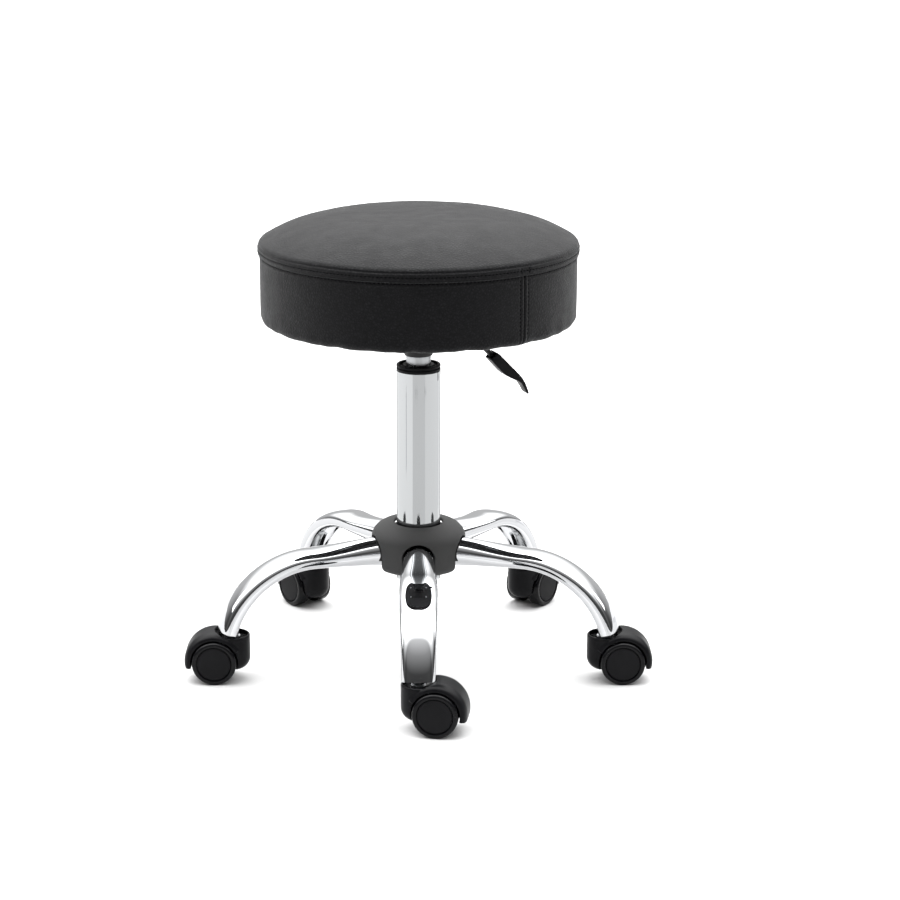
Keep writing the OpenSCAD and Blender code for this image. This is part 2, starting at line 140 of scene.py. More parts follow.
def linear(code: str) -> tuple[float, float, float, float]:
    """Turn an sRGB hex colour into the linear RGBA that shaders use.

    Args:
        code: six hex digits with a leading mark.

    Returns:
        Linear red, green, blue and an alpha of 1.
    """
    parts = (int(code[k : k + 2], 16) / 255 for k in (1, 3, 5))
    r, g, b = (v / 12.92 if v <= 0.04045 else ((v + 0.055) / 1.055) ** 2.4 for v in parts)
    return (r, g, b, 1.0)


def add_node(
    tree: bpy.types.NodeTree, kind: str, inputs: dict | None = None, **settings
) -> bpy.types.Node:
    """Add a shader node with its settings and links.

    Args:
        tree: node tree to add to.
        kind: node type without its "ShaderNode" prefix.
        inputs: socket name or number, to a value or to the output socket that feeds it.
        **settings: node attributes.

    Returns:
        The new node.
    """
    made = tree.nodes.new("ShaderNode" + kind)
    for name, value in settings.items():
        setattr(made, name, value)
    for key, value in (inputs or {}).items():
        if isinstance(value, Socket):
            tree.links.new(value, made.inputs[key])
        else:
            made.inputs[key].default_value = value
    return made


# ---------- finishes ----------


@dataclass(frozen=True)
class Finish:
    """What a surface is made of and how it was made.

    Attributes:
        name: the material's name.
        slot: the record's slot that it stands for.
        colour: sRGB hex colour.
        roughness: mean roughness.
        metallic: 1 for bare metal.
        ior: index of refraction; a metal keeps the shader's default.
        gloss: specular level, under 0.5 where a matt skin scatters most of the reflection.
    """

    name: str
    slot: Slot
    colour: str
    roughness: float
    metallic: float = 0.0
    ior: float = 1.5
    gloss: float = 0.5

    def material(self) -> bpy.types.Material:
        """Return this finish's material, made the first time it is asked for."""
        known = bpy.data.materials.get(self.name)
        if known is not None:
            return known
        made = bpy.data.materials.new(self.name)
        made.use_nodes = True
        tree = made.node_tree
        tree.nodes.clear()
        shader = add_node(
            tree,
            "BsdfPrincipled",
            {
                "Base Color": linear(self.colour),
                "Roughness": self.roughness,
                "Metallic": self.metallic,
                "IOR": self.ior,
                "Specular IOR Level": self.gloss,
            },
        )
        add_node(tree, "OutputMaterial", {"Surface": shader.outputs["BSDF"]})
        self.dress(tree, shader)
        return made

    def dress(self, tree: bpy.types.NodeTree, shader: bpy.types.Node) -> None:
        """Add the pattern that the making leaves; a plain finish has none."""

    def noise_of(
        self,
        tree: bpy.types.NodeTree,
        size_mm: float,
        detail: float = 3.0,
        stretch: Sequence[float] = (1, 1, 1),
    ) -> Socket:
        """Add a cloud pattern on object coordinates.

        Args:
            tree: node tree.
            size_mm: size of one lump.
            detail: number of finer layers.
            stretch: how many times finer it is along each axis.

        Returns:
            The grey value's socket.
        """
        where = add_node(tree, "TexCoord").outputs["Object"]
        scaled = add_node(tree, "Mapping", {"Vector": where, "Scale": tuple(stretch)})
        made = add_node(
            tree,
            "TexNoise",
            {"Vector": scaled.outputs["Vector"], "Scale": 1 / (size_mm * MM), "Detail": detail},
        )
        return made.outputs["Fac"]

    def ranged(
        self,
        tree: bpy.types.NodeTree,
        value: Socket,
        low: float,
        high: float,
        start: float = 0.3,
        stop: float = 0.7,
    ) -> Socket:
        """Map a grey value on start..stop to low..high and return its socket."""
        made = add_node(
            tree,
            "MapRange",
            {"Value": value, "From Min": start, "From Max": stop, "To Min": low, "To Max": high},
        )
        return made.outputs["Result"]

    def shaded(self, tree: bpy.types.NodeTree, factor: Socket, dark: str, light: str) -> Socket:
        """Blend two sRGB hex colours by a factor and return the colour's socket."""
        made = add_node(
            tree,
            "Mix",
            {"Factor": factor, "A": linear(dark), "B": linear(light)},
            data_type="RGBA",
        )
        return mix_result(made)

    def raised(
        self,
        tree: bpy.types.NodeTree,
        height: Socket,
        depth_mm: float,
        under: Socket | None = None,
    ) -> Socket:
        """Add a bump of a real depth.

        Args:
            tree: node tree.
            height: grey value, 0 to 1.
            depth_mm: height of a full white step.
            under: normal of a coarser bump below it.

        Returns:
            The normal's socket.
        """
        inputs = {"Height": height, "Distance": depth_mm * MM, "Strength": 1.0}
        if under is not None:
            inputs["Normal"] = under
        return add_node(tree, "Bump", inputs).outputs["Normal"]


def mix_result(made: bpy.types.Node) -> Socket:
    """Return the colour output of a Mix node."""
    return next(s for s in made.outputs if s.type == "RGBA")


@dataclass(frozen=True)
class PlatedMetal(Finish):
    """Metal with a plated or ground skin.

    Attributes:
        smear: how much handling changes the roughness.
        ripple_mm: depth of the slow waves that pressing leaves under the plate.
        lay: stretch of the grinding lines along each axis, or none.
        lined: colour of the brighter lines.
    """

    smear: float = 0.02
    ripple_mm: float = 0.0
    lay: tuple[float, float, float] | None = None
    lined: str = "#b4b6b8"

    def dress(self, tree: bpy.types.NodeTree, shader: bpy.types.Node) -> None:
        """Blotch the roughness, and add ripples or grinding lines."""
        blot = self.noise_of(tree, 34, 4)
        rough = self.ranged(tree, blot, self.roughness, self.roughness + self.smear, 0.42, 0.72)
        tree.links.new(rough, shader.inputs["Roughness"])
        normal = None
        if self.ripple_mm:
            normal = self.raised(tree, self.noise_of(tree, 26, 1), self.ripple_mm)
        if self.lay:
            lines = self.noise_of(tree, 6, 2, self.lay)
            normal = self.raised(tree, lines, 0.0025, normal)
            tree.links.new(
                self.shaded(tree, self.ranged(tree, lines, 0, 1), self.colour, self.lined),
                shader.inputs["Base Color"],
            )
        if normal is not None:
            tree.links.new(normal, shader.inputs["Normal"])


@dataclass(frozen=True)
class MouldedPlastic(Finish):
    """Plastic from a mould whose walls were spark-eroded.

    Attributes:
        grit_mm: size of one pit, drawn coarser than the real 0.1 mm so that it shows.
        depth_mm: depth of the pits.
        dusty: lighter colour that rubbing and dust leave.
    """

    grit_mm: float = 0.8
    depth_mm: float = 0.03
    dusty: str = "#2c2c2f"

    def dress(self, tree: bpy.types.NodeTree, shader: bpy.types.Node) -> None:
        """Pit the surface and let the gloss drift over it."""
        grit = self.noise_of(tree, self.grit_mm, 2)
        drift = self.noise_of(tree, 22, 4)
        tree.links.new(self.raised(tree, grit, self.depth_mm), shader.inputs["Normal"])
        rough = self.ranged(tree, drift, self.roughness - 0.05, self.roughness + 0.08)
        tree.links.new(rough, shader.inputs["Roughness"])
        tone = self.shaded(tree, self.ranged(tree, drift, 0, 1, 0.4, 0.8), self.colour, self.dusty)
        tree.links.new(tone, shader.inputs["Base Color"])


@dataclass(frozen=True)
class FauxLeather(Finish):
    """Vinyl-coated cloth with an embossed pebble grain.

    Attributes:
        pebble_mm: size of a pebble, drawn three times as coarse as the real 1 mm grain so that it
            shows.
        depth_mm: depth of the creases between pebbles.
    """

    pebble_mm: float = 3.0
    depth_mm: float = 0.22

    def dress(self, tree: bpy.types.NodeTree, shader: bpy.types.Node) -> None:
        """Emboss the pebbles, over slow stretch marks in the skin, and paint the creases between them darker as
        painted shade.
        """
        where = add_node(tree, "TexCoord").outputs["Object"]
        wander = add_node(tree, "TexNoise", {"Vector": where, "Scale": 1 / (6 * MM), "Detail": 2.0})
        push = add_node(
            tree,
            "VectorMath",
            {0: wander.outputs["Color"], 1: (0.0016, 0.0016, 0.0016)},
            operation="MULTIPLY",
        )
        moved = add_node(tree, "VectorMath", {0: where, 1: push.outputs["Vector"]}, operation="ADD")
        pebbles = add_node(
            tree,
            "TexVoronoi",
            {"Vector": moved.outputs["Vector"], "Scale": 1 / (self.pebble_mm * MM)},
            feature="DISTANCE_TO_EDGE",
        ).outputs["Distance"]
        domes = self.ranged(tree, pebbles, 0, 1, 0.0, 0.32)
        slow = self.noise_of(tree, 18, 3)
        fine = self.noise_of(tree, 0.9, 2)
        base = self.raised(tree, slow, 0.35)
        grain = self.raised(tree, domes, self.depth_mm, base)
        tree.links.new(self.raised(tree, fine, 0.03, grain), shader.inputs["Normal"])
        rough = self.ranged(tree, slow, self.roughness - 0.04, self.roughness + 0.06)
        tree.links.new(rough, shader.inputs["Roughness"])
        # The creases between pebbles are painted near-black (#040405): painted shade in the grain.
        tone = self.shaded(tree, domes, "#040405", self.colour)
        tree.links.new(tone, shader.inputs["Base Color"])
        shader.inputs["Sheen Weight"].default_value = 0.06
        shader.inputs["Sheen Roughness"].default_value = 0.5


@dataclass(frozen=True)
class Thread(Finish):
    """Twisted polyester sewing thread."""

    def dress(self, tree: bpy.types.NodeTree, shader: bpy.types.Node) -> None:
        """Draw the twist as fine ridges."""
        ply = self.noise_of(tree, 0.5, 1, (1, 1, 2))
        tree.links.new(self.raised(tree, ply, 0.08), shader.inputs["Normal"])
        tone = self.shaded(tree, self.ranged(tree, ply, 0, 1), "#030304", self.colour)
        tree.links.new(tone, shader.inputs["Base Color"])


@dataclass(frozen=True)
class WebCloth(Finish):
    """Non-woven cloth: pressed fibres with a grid of weld dots.

    Attributes:
        dot_mm: spacing of the weld dots.
    """

    dot_mm: float = 3.0

    def dress(self, tree: bpy.types.NodeTree, shader: bpy.types.Node) -> None:
        """Sink the weld dots and lay the fibres."""
        where = add_node(tree, "TexCoord").outputs["Object"]
        dots = add_node(
            tree,
            "TexVoronoi",
            {"Vector": where, "Scale": 1 / (self.dot_mm * MM), "Randomness": 0.15},
        ).outputs["Distance"]
        pads = self.ranged(tree, dots, 0, 1, 0.12, 0.3)
        fibres = self.noise_of(tree, 1.2, 4)
        under = self.raised(tree, pads, 0.15)
        tree.links.new(self.raised(tree, fibres, 0.1, under), shader.inputs["Normal"])
        tone = self.shaded(tree, self.ranged(tree, fibres, 0, 1), "#131314", self.colour)
        tree.links.new(tone, shader.inputs["Base Color"])


@dataclass(frozen=True)
class Mottled(Finish):
    """A finish with one soft pattern: foam, wood, paint or rubber.

    Attributes:
        second: the pattern's other colour.
        lump_mm: size of a lump.
        depth_mm: depth of the lumps.
        stretch: how many times finer the pattern is along each axis.
    """

    second: str = "#1a1a1b"
    lump_mm: float = 1.0
    depth_mm: float = 0.03
    stretch: tuple[float, float, float] = (1, 1, 1)

    def dress(self, tree: bpy.types.NodeTree, shader: bpy.types.Node) -> None:
        """Mottle the colour, the gloss and the height."""
        lumps = self.noise_of(tree, self.lump_mm, 3, self.stretch)
        tree.links.new(self.raised(tree, lumps, self.depth_mm), shader.inputs["Normal"])
        tone = self.shaded(tree, self.ranged(tree, lumps, 0, 1), self.colour, self.second)
        tree.links.new(tone, shader.inputs["Base Color"])
        rough = self.ranged(tree, lumps, self.roughness - 0.05, self.roughness + 0.05)
        tree.links.new(rough, shader.inputs["Roughness"])


# Bright chrome over polished tube: a mirror with the faintest haze where it was handled. Its colour is darker
# than the legs' chrome: painted shade that dims the floor the column reflects.
SHADED_CHROME_TUBE = PlatedMetal("chrome_plate_on_drawn_tube", Slot.CHROME, "#b8babb", 0.05, 1.0, smear=0.04)
# Bright chrome over tube that was pressed flat: the mirror wavers where the metal moved.
CHROME_LEG = PlatedMetal(
    "chrome_plate_on_pressed_tube", Slot.CHROME, "#cdced0", 0.03, 1.0, smear=0.03, ripple_mm=0.012
)
# Honed gas cylinder: silver with a satin haze and fine lines round it.
SATIN_STEEL = PlatedMetal(
    "satin_honed_steel", Slot.SATIN, "#a9abad", 0.27, 1.0, smear=0.06, lay=(0.2, 0.2, 12)
)
# Centreless-ground rod: near mirror, with lines round it.
GROUND_ROD = PlatedMetal(
    "ground_steel_rod", Slot.ROD, "#b9bbbd", 0.14, 1.0, smear=0.04, lay=(0.2, 0.2, 12), lined="#c3c5c7"
)
# Bright zinc plate: silver with a faint cool bloom.
ZINC_PLATE = PlatedMetal("bright_zinc_plate", Slot.ZINC, "#b4b6b8", 0.3, 1.0, smear=0.12, ripple_mm=0.02)
# Moulded black nylon: pitted and fully matt, with no sheen at low angles.
NYLON = MouldedPlastic(
    "moulded_black_nylon", Slot.NYLON, "#0b0b0c", 0.6, gloss=0.0, dusty="#131315"
)
# The same nylon from a polished mould: soft highlights run along its edges.
NYLON_SMOOTH = MouldedPlastic(
    "polished_mould_nylon",
    Slot.NYLON,
    "#0a0a0c",
    0.34,
    gloss=0.09,
    grit_mm=1.2,
    depth_mm=0.012,
    dusty="#121214",
)
# Wheel nylon: glossy rolled edge with clear highlights.
WHEEL_NYLON = MouldedPlastic(
    "glossy_wheel_nylon",
    Slot.WHEEL,
    "#08080a",
    0.22,
    gloss=0.15,
    grit_mm=2.0,
    depth_mm=0.006,
    dusty="#0d0d0f",
)
# The wheel's pressed-in disc: flat black with hardly any shine.
DISC_NYLON = MouldedPlastic(
    "matt_disc_nylon", Slot.WHEEL, "#0d0d0f", 0.55, gloss=0.12, dusty="#161618"
)
# Embossed vinyl on cloth: black with a soft grey bloom at low angles.
LEATHER = FauxLeather("embossed_black_vinyl", Slot.LEATHER, "#121214", 0.46, ior=1.46, gloss=0.1)
# Bonded polyester thread: black, sunk in its groove.
THREAD = Thread("bonded_polyester_thread", Slot.LEATHER, "#060607", 0.8, gloss=0.0)
# Pressed-fibre backing: dull black with a grid of tiny weld dots.
BACKING = WebCloth("spun_bonded_backing", Slot.BACKING, "#27272a", 0.85)
# Black powder coat: semi-gloss with a fine orange-peel skin.
POWDER_COAT = Mottled(
    "black_powder_coat", Slot.ENAMEL, "#101011", 0.36, gloss=0.3, second="#171718", lump_mm=1.4, depth_mm=0.03
)
# Nitrile seal: flat black.
RUBBER = Mottled("nitrile_rubber", Slot.RUBBER, "#121213", 0.6, second="#1a1a1b", lump_mm=0.8)
# Open-cell foam: cream, full of tiny pores.
FOAM = Mottled(
    "open_cell_foam", Slot.FOAM, "#d9cb94", 0.9, second="#b9a871", lump_mm=1.6, depth_mm=0.4
)
# Birch plywood: pale, with long grain lines across the board.
PLYWOOD = Mottled(
    "sanded_birch_plywood",
    Slot.PLYWOOD,
    "#c9a777",
    0.6,
    second="#a98453",
    lump_mm=14,
    depth_mm=0.05,
    stretch=(0.12, 1, 1),
)


# ---------- modelling ----------


def loop_of(bm: bmesh.types.BMesh, points: Iterable[Sequence[float]], closed: bool = True) -> list:
    """Lay a line of vertices and edges.

    Args:
        bm: mesh to add to.
        points: places in millimetres.
        closed: whether the line returns to its start.

    Returns:
        The vertices and edges.
    """
    verts = [bm.verts.new(p) for p in points]
    ends = verts[1:] + (verts[:1] if closed else [])
    return verts + [bm.edges.new(pair) for pair in zip(verts, ends)]


def turned(profile: Sequence[Point], steps: int = 96, closed: bool = True) -> bmesh.types.BMesh:
    """Turn an outline of (radius, height) about the Z axis.

    Args:
        profile: outline in millimetres.
        steps: number of facets round.
        closed: whether the outline returns to its start.

    Returns:
        The turned shape.
    """
    bm = bmesh.new()
    line = loop_of(bm, ((r, 0, z) for r, z in profile), closed)
    bmesh.ops.spin(
        bm, geom=line, cent=(0, 0, 0), axis=(0, 0, 1), angle=TURN, steps=steps, use_merge=True
    )
    return tidy(bm)


def tidy(bm: bmesh.types.BMesh, near: float = 1e-4) -> bmesh.types.BMesh:
    """Merge doubles, drop faces without area and point every face outward."""
    bmesh.ops.remove_doubles(bm, verts=bm.verts, dist=near)
    bmesh.ops.dissolve_degenerate(bm, dist=near, edges=bm.edges)
    bmesh.ops.recalc_face_normals(bm, faces=bm.faces)
    return bm


def rod_shape(radius: float, length: float, steps: int = 48) -> bmesh.types.BMesh:
    """Make a plain round bar on the Z axis, centred, as a tool for cutting or joining."""
    bm = bmesh.new()
    bmesh.ops.create_cone(
        bm, cap_ends=True, segments=steps, radius1=radius, radius2=radius, depth=length
    )
    return bm


def block_shape(low: Sequence[float], high: Sequence[float]) -> bmesh.types.BMesh:
    """Make a block between two corners, as a tool for cutting or joining."""
    bm = bmesh.new()
    size = [b - a for a, b in zip(low, high)]
    middle = [(a + b) / 2 for a, b in zip(low, high)]
    bmesh.ops.create_cube(bm, size=1, matrix=Matrix.Translation(middle) @ Matrix.Diagonal((*size, 1)))
    return bm


def placed(bm: bmesh.types.BMesh, matrix: Matrix) -> bmesh.types.BMesh:
    """Move a whole mesh by a matrix and return it."""
    bmesh.ops.transform(bm, matrix=matrix, verts=bm.verts)
    return bm


def soften(
    bm: bmesh.types.BMesh,
    width: float,
    over: float = 35.0,
    segments: int = 3,
    where: Callable | None = None,
) -> bmesh.types.BMesh:
    """Round the sharp edges of a mesh.

    Args:
        bm: the mesh.
        width: bevel width in millimetres.
        over: only edges that turn by more than this many degrees.
        segments: steps across the bevel.
        where: test that takes an edge's middle, for rounding only some edges.

    Returns:
        The same mesh.
    """
    limit = math.radians(over)
    sharp = [
        e
        for e in bm.edges
        if len(e.link_faces) == 2
        and e.calc_face_angle(0.0) > limit
        and (where is None or where((e.verts[0].co + e.verts[1].co) / 2))
    ]
    bmesh.ops.bevel(
        bm,
        geom=sharp,
        offset=width,
        offset_type="OFFSET",
        segments=segments,
        profile=0.5,
        affect="EDGES",
        clamp_overlap=True,
        material=-1,
    )
    return bm


def through(bm: bmesh.types.BMesh, steps: Sequence[tuple[str, dict]]) -> bmesh.types.BMesh:
    """Run a mesh through modifiers and return what comes out.

    Args:
        bm: the mesh, which is freed.
        steps: modifier type and settings, in order; a mesh among the settings becomes the modifier's object.

    Returns:
        The resulting mesh.
    """
    made = []

    def stand_in(shape: bmesh.types.BMesh) -> bpy.types.Object:
        """Give a mesh an object for as long as the modifiers need it."""
        mesh = bpy.data.meshes.new("work")
        shape.to_mesh(mesh)
        shape.free()
        holder = bpy.data.objects.new("work", mesh)
        bpy.context.scene.collection.objects.link(holder)
        made.append(holder)
        return holder

    target = stand_in(bm)
    for kind, settings in steps:
        modifier = target.modifiers.new(kind.lower(), kind)
        for name, value in settings.items():
            is_shape = isinstance(value, bmesh.types.BMesh)
            setattr(modifier, name, stand_in(value) if is_shape else value)
    result = bmesh.new()
    result.from_object(target, bpy.context.evaluated_depsgraph_get())
    for holder in made:
        mesh = holder.data
        bpy.data.objects.remove(holder)
        bpy.data.meshes.remove(mesh)
    return result


def carved(
    bm: bmesh.types.BMesh,
    add: Sequence[bmesh.types.BMesh] = (),
    cut: Sequence[bmesh.types.BMesh] = (),
) -> bmesh.types.BMesh:
    """Join solids to a mesh, then cut others out of it.

    Args:
        bm: the first solid.
        add: solids to join.
        cut: solids to take away.

    Returns:
        The finished solid.
    """
    steps = [("BOOLEAN", {"operation": "UNION", "solver": "EXACT", "object": part}) for part in add]
    steps += [("BOOLEAN", {"operation": "DIFFERENCE", "solver": "EXACT", "object": part}) for part in cut]
    return through(bm, steps)


def fused(bm: bmesh.types.BMesh, voxel: float, rounds: int = 4) -> bmesh.types.BMesh:
    """Resurface a solid with small even faces, so its corners round off as a moulding's do."""
    done = through(bm, [("REMESH", {"mode": "VOXEL", "voxel_size": voxel, "adaptivity": 0.0})])
    for _ in range(rounds):
        bmesh.ops.smooth_vert(
            done, verts=done.verts, factor=0.5, use_axis_x=True, use_axis_y=True, use_axis_z=True
        )
    return done


def to_piece(
    bm: bmesh.types.BMesh,
    name: str,
    finish: Finish,
    body: str,
    replaces: Sequence[str] = (),
    smooth: float = 40.0,
) -> bpy.types.Object:
    """Turn a mesh into a dressed piece that rides on a body.

    Args:
        bm: mesh in millimetres, which is freed.
        name: piece name.
        finish: its finish.
        body: the body it rides on.
        replaces: the CAD nodes that it stands for.
        smooth: edges that turn by more than this many degrees stay sharp.

    Returns:
        The piece.
    """
    bmesh.ops.scale(bm, vec=(MM, MM, MM), verts=bm.verts)
    mesh = bpy.data.meshes.new(name)
    bm.to_mesh(mesh)
    bm.free()
    mesh.polygons.foreach_set("use_smooth", [True] * len(mesh.polygons))
    mesh.set_sharp_from_angle(angle=math.radians(smooth))
    mesh.materials.clear()
    mesh.materials.append(finish.material())
    mesh.polygons.foreach_set("material_index", [0] * len(mesh.polygons))
    piece = bpy.data.objects.new(name, mesh)
    bpy.context.scene.collection.objects.link(piece)
    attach(piece, body)
    if replaces:
        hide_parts(*replaces)
    LOG.info("%s: %d faces on %s", name, len(mesh.polygons), body)
    return piece


def copy_of(node: str) -> bmesh.types.BMesh:
    """Return a merged copy of a CAD node's mesh in millimetres."""
    bm = bmesh.new()
    bm.from_mesh(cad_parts[node].data)
    bmesh.ops.scale(bm, vec=(1 / MM,) * 3, verts=bm.verts)
    bmesh.ops.remove_doubles(bm, verts=bm.verts, dist=0.002)
    bmesh.ops.dissolve_limit(
        bm, angle_limit=math.radians(0.5), use_dissolve_boundaries=False, verts=bm.verts, edges=bm.edges
    )
    return bm


def dress_node(node: str, finish: Finish) -> None:
    """Give a CAD node that keeps its own shape a finish."""
    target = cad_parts[node]
    if not target.material_slots:
        target.data.materials.append(None)
    for place in target.material_slots:
        place.material = finish.material()
    LOG.info("%s: CAD shape in %s", node, finish.name)


# ---------- seat ----------


@dataclass
class PadSimulation:
    """Swells a closed soft form with pressure and remembers how far each place moved.

    Attributes:
        voxel: face size of the simulated skin.
        pressure: inside pressure.
        frames: steps that are run.
        near: how many places a move is averaged over.
        spread: distance that evens out their weights.
        cap: the furthest that a place may move.
    """

    voxel: float = 5.0
    pressure: float = 4.0
    frames: int = 20
    near: int = 60
    spread: float = 9.0
    cap: float = 4.0
    tree: kdtree.KDTree | None = None
    moves: list[Vector] = field(default_factory=list)

    def run(self, bm: bmesh.types.BMesh, held: Callable[[Vector], float]) -> None:
        """Simulate the form.

        Args:
            bm: closed form in millimetres, which is freed.
            held: share, 0 to 1, by which a place is held still.
        """
        skin = through(bm, [("REMESH", {"mode": "VOXEL", "voxel_size": self.voxel, "adaptivity": 0.0})])
        bmesh.ops.scale(skin, vec=(MM, MM, MM), verts=skin.verts)
        mesh = bpy.data.meshes.new("pad_skin")
        skin.to_mesh(mesh)
        skin.free()
        pad = bpy.data.objects.new("pad_skin", mesh)
        bpy.context.scene.collection.objects.link(pad)
        pins = pad.vertex_groups.new(name="held")
        for v in mesh.vertices:
            pins.add([v.index], held(v.co / MM), "REPLACE")
        cloth = pad.modifiers.new("cloth", "CLOTH")
        settings = cloth.settings
        settings.quality = 6
        settings.mass = 0.4
        settings.use_pressure = True
        settings.uniform_pressure_force = self.pressure
        settings.vertex_group_mass = "held"
        settings.tension_stiffness = 25
        settings.compression_stiffness = 25
        settings.shear_stiffness = 8
        settings.bending_stiffness = 2.0
        settings.air_damping = 2
        settings.shrink_min = -0.012
        settings.effector_weights.gravity = 0
        cloth.point_cache.frame_start = 1
        cloth.point_cache.frame_end = self.frames
        scene = bpy.context.scene
        for step in range(1, self.frames + 1):
            scene.frame_set(step)
        swollen = pad.evaluated_get(bpy.context.evaluated_depsgraph_get()).to_mesh()
        rest = [v.co / MM for v in mesh.vertices]
        self.moves = [after.co / MM - before for after, before in zip(swollen.vertices, rest)]
        self.tree = kdtree.KDTree(len(rest))
        for k, place in enumerate(rest):
            self.tree.insert(place, k)
        self.tree.balance()
        bpy.data.objects.remove(pad)
        bpy.data.meshes.remove(mesh)
        scene.frame_set(1)

    def move_at(self, place: Vector) -> Vector:
        """Return how far the skin moved near a place, capped."""
        if self.tree is None:
            return Vector((0, 0, 0))
        total, weight = Vector((0, 0, 0)), 0.0
        for _, index, gap in self.tree.find_n(place, self.near):
            share = 1 / (gap + self.spread) ** 2
            total += self.moves[index] * share
            weight += share
        move = total / weight
        return move * (self.cap / move.length) if move.length > self.cap else move


@dataclass
class SeatCushion:
    """The crowned cushion, its side band, seams and stitches."""

    flat_top: float = 30.0
    rim_h: float = 6.5
    shoulder_w: float = 8.8
    shoulder_h: float = 9.2
    shoulder_from: float = 60.75
    crown_power: float = 3.2
    sink: float = 0.8
    cover: float = 1.2
    under_round: float = 8.0
    slack: float = 2.0
    swell: float = 0.25
    stitch_gap: float = 3.5
    stitch_pitch: float = 4.4
    stitch_length: float = 2.5
    thread: float = 1.3
    seam_azimuth: float = -50.7
    seam_rows: float = 5.3
    band_wave: float = 0.6
    tuck_depth: float = 1.3
    board_edge: float = 162.0
    turned_in: float = 26.0
    panel_steps: int = 420
    band_steps: int = 600
    seed: int = 7

    def __post_init__(self) -> None:
        """Read the seat's levels from the frame."""
        low, high = box_mm("cover_top_panel")
        self.rim_r = (high.x - low.x) / 2
        self.top_z = high.z - self.sink
        self.seam_z = low.z + 2
        band_low, band_high = box_mm("cover_side_band")
        self.band_r = (band_high.x - band_low.x) / 2
        self.base_z = band_low.z
        self.foot_z = box_mm("seat_foam")[0].z
        draw = random.Random(self.seed)
        self.waves = [(draw.randint(5, 13), draw.uniform(0, TURN), draw.uniform(0.3, 1)) for _ in range(5)]
        self.folds = self._folds(draw)
        self.puckers = [(draw.randint(60, 96), draw.uniform(0, TURN)) for _ in range(3)]

    def _folds(self, draw: random.Random) -> list[tuple[float, float, float]]:
        """Lay out the tucks of the turned-under edge as (azimuth, width, depth)."""
        folds, at = [], 0.0
        while at < TURN - 0.03:
            width = draw.uniform(0.05, 0.12)
            folds.append((at, width, draw.uniform(0.15, 1.0)))
            at += width * draw.uniform(1.2, 2.6)
        return folds

    def crown_end(self) -> Point:
        """Return the radius and height where the crown runs into its shoulder."""
        a = math.radians(self.shoulder_from)
        r = self.rim_r - self.shoulder_w * (1 - math.cos(a))
        return r, self.seam_z + self.rim_h + self.shoulder_h * math.sin(a)

    def crown_z(self, r: float) -> float:
        """Return the height of the crowned top at a radius within its shoulder."""
        end_r, end_z = self.crown_end()
        t = max(0.0, (r - self.flat_top) / (end_r - self.flat_top))
        return self.top_z - (self.top_z - end_z) * t**self.crown_power

    def crown_line(self, inset: float = 0.0) -> list[Point]:
        """List the outline from the middle over the shoulder and down the rim, moved in by inset."""
        edge, turn_z = self.rim_r - self.shoulder_w, self.seam_z + self.rim_h
        end_r = self.crown_end()[0]
        dome = [(end_r * k / 34, self.crown_z(end_r * k / 34) - inset) for k in range(34)]
        wide, high = self.shoulder_w - inset, self.shoulder_h - inset
        over = arc(edge, turn_z, wide, high, self.shoulder_from, 0, 26)
        rim = [(self.rim_r - inset, turn_z - self.rim_h * k / 12) for k in range(1, 13)]
        return dome + over + rim

    def pucker(self, turn: float) -> float:
        """Return the small pull of the seam's stitches at an azimuth, -1 to 1."""
        return sum(math.cos(n * turn + p) for n, p in self.puckers) / len(self.puckers)

    def wave(self, turn: float) -> float:
        """Return the slow unevenness round the band, -1 to 1."""
        return sum(s * math.sin(n * turn + p) for n, p, s in self.waves) / 2.5

    def tuck(self, turn: float) -> float:
        """Return how deep a tuck of the turned-under edge is at an azimuth, 0 to 1."""
        depth = 0.0
        for at, width, size in self.folds:
            gap = abs((turn - at + math.pi) % TURN - math.pi)
            if gap < width:
                depth = max(depth, size * (1 - gap / width))
        return depth

    def build_panel(self) -> None:
        """Build the crowned top panel with its foam as one padded piece."""
        side = self.band_r - self.cover - 0.5
        rim = self.rim_r
        inner = [(side, self.seam_z - 4), (side, self.foot_z + 2), (side - 2, self.foot_z)]
        closing = inner + [(side * k / 5, self.foot_z) for k in (4, 3, 2, 1)] + [(0, self.foot_z)]
        lip = [(rim, self.seam_z - 0.6), (rim - 0.35, self.seam_z - 1.6), (rim - 1.5, self.seam_z - 2.05)]
        pad = PadSimulation()
        start = self.crown_line(self.slack) + [(rim - self.slack, self.seam_z - 3)] + closing
        floor = self.seam_z + 3
        pad.run(turned(start, 96, False), lambda p: 1 - 0.97 * ease((p.z - floor) / 9))
        middle = pad.move_at(Vector((0, 0, self.top_z)))
        bm = turned(self.crown_line() + lip + closing, self.panel_steps, False)
        for v in bm.verts:
            r, turn = math.hypot(v.co.x, v.co.y), math.atan2(v.co.y, v.co.x)
            if v.co.z < self.seam_z - 2.5:
                continue
            out = Vector((v.co.x, v.co.y, 0)).normalized() if r > 1 else Vector((0, 0, 0))
            over = ease((v.co.z - self.seam_z - 3) / 12)
            v.co += (pad.move_at(v.co) - middle) * over * self.swell
            v.co += out * self.hem_relief(v.co.z - self.seam_z, turn)
            v.co.z += 0.35 * self.wave(turn) * ease((v.co.z - self.seam_z - 2) / 10) * ease(r / 60)
        piece = to_piece(
            bm, "seat_cushion", LEATHER, Body.SEAT.value, ("cover_top_panel", "seat_foam")
        )

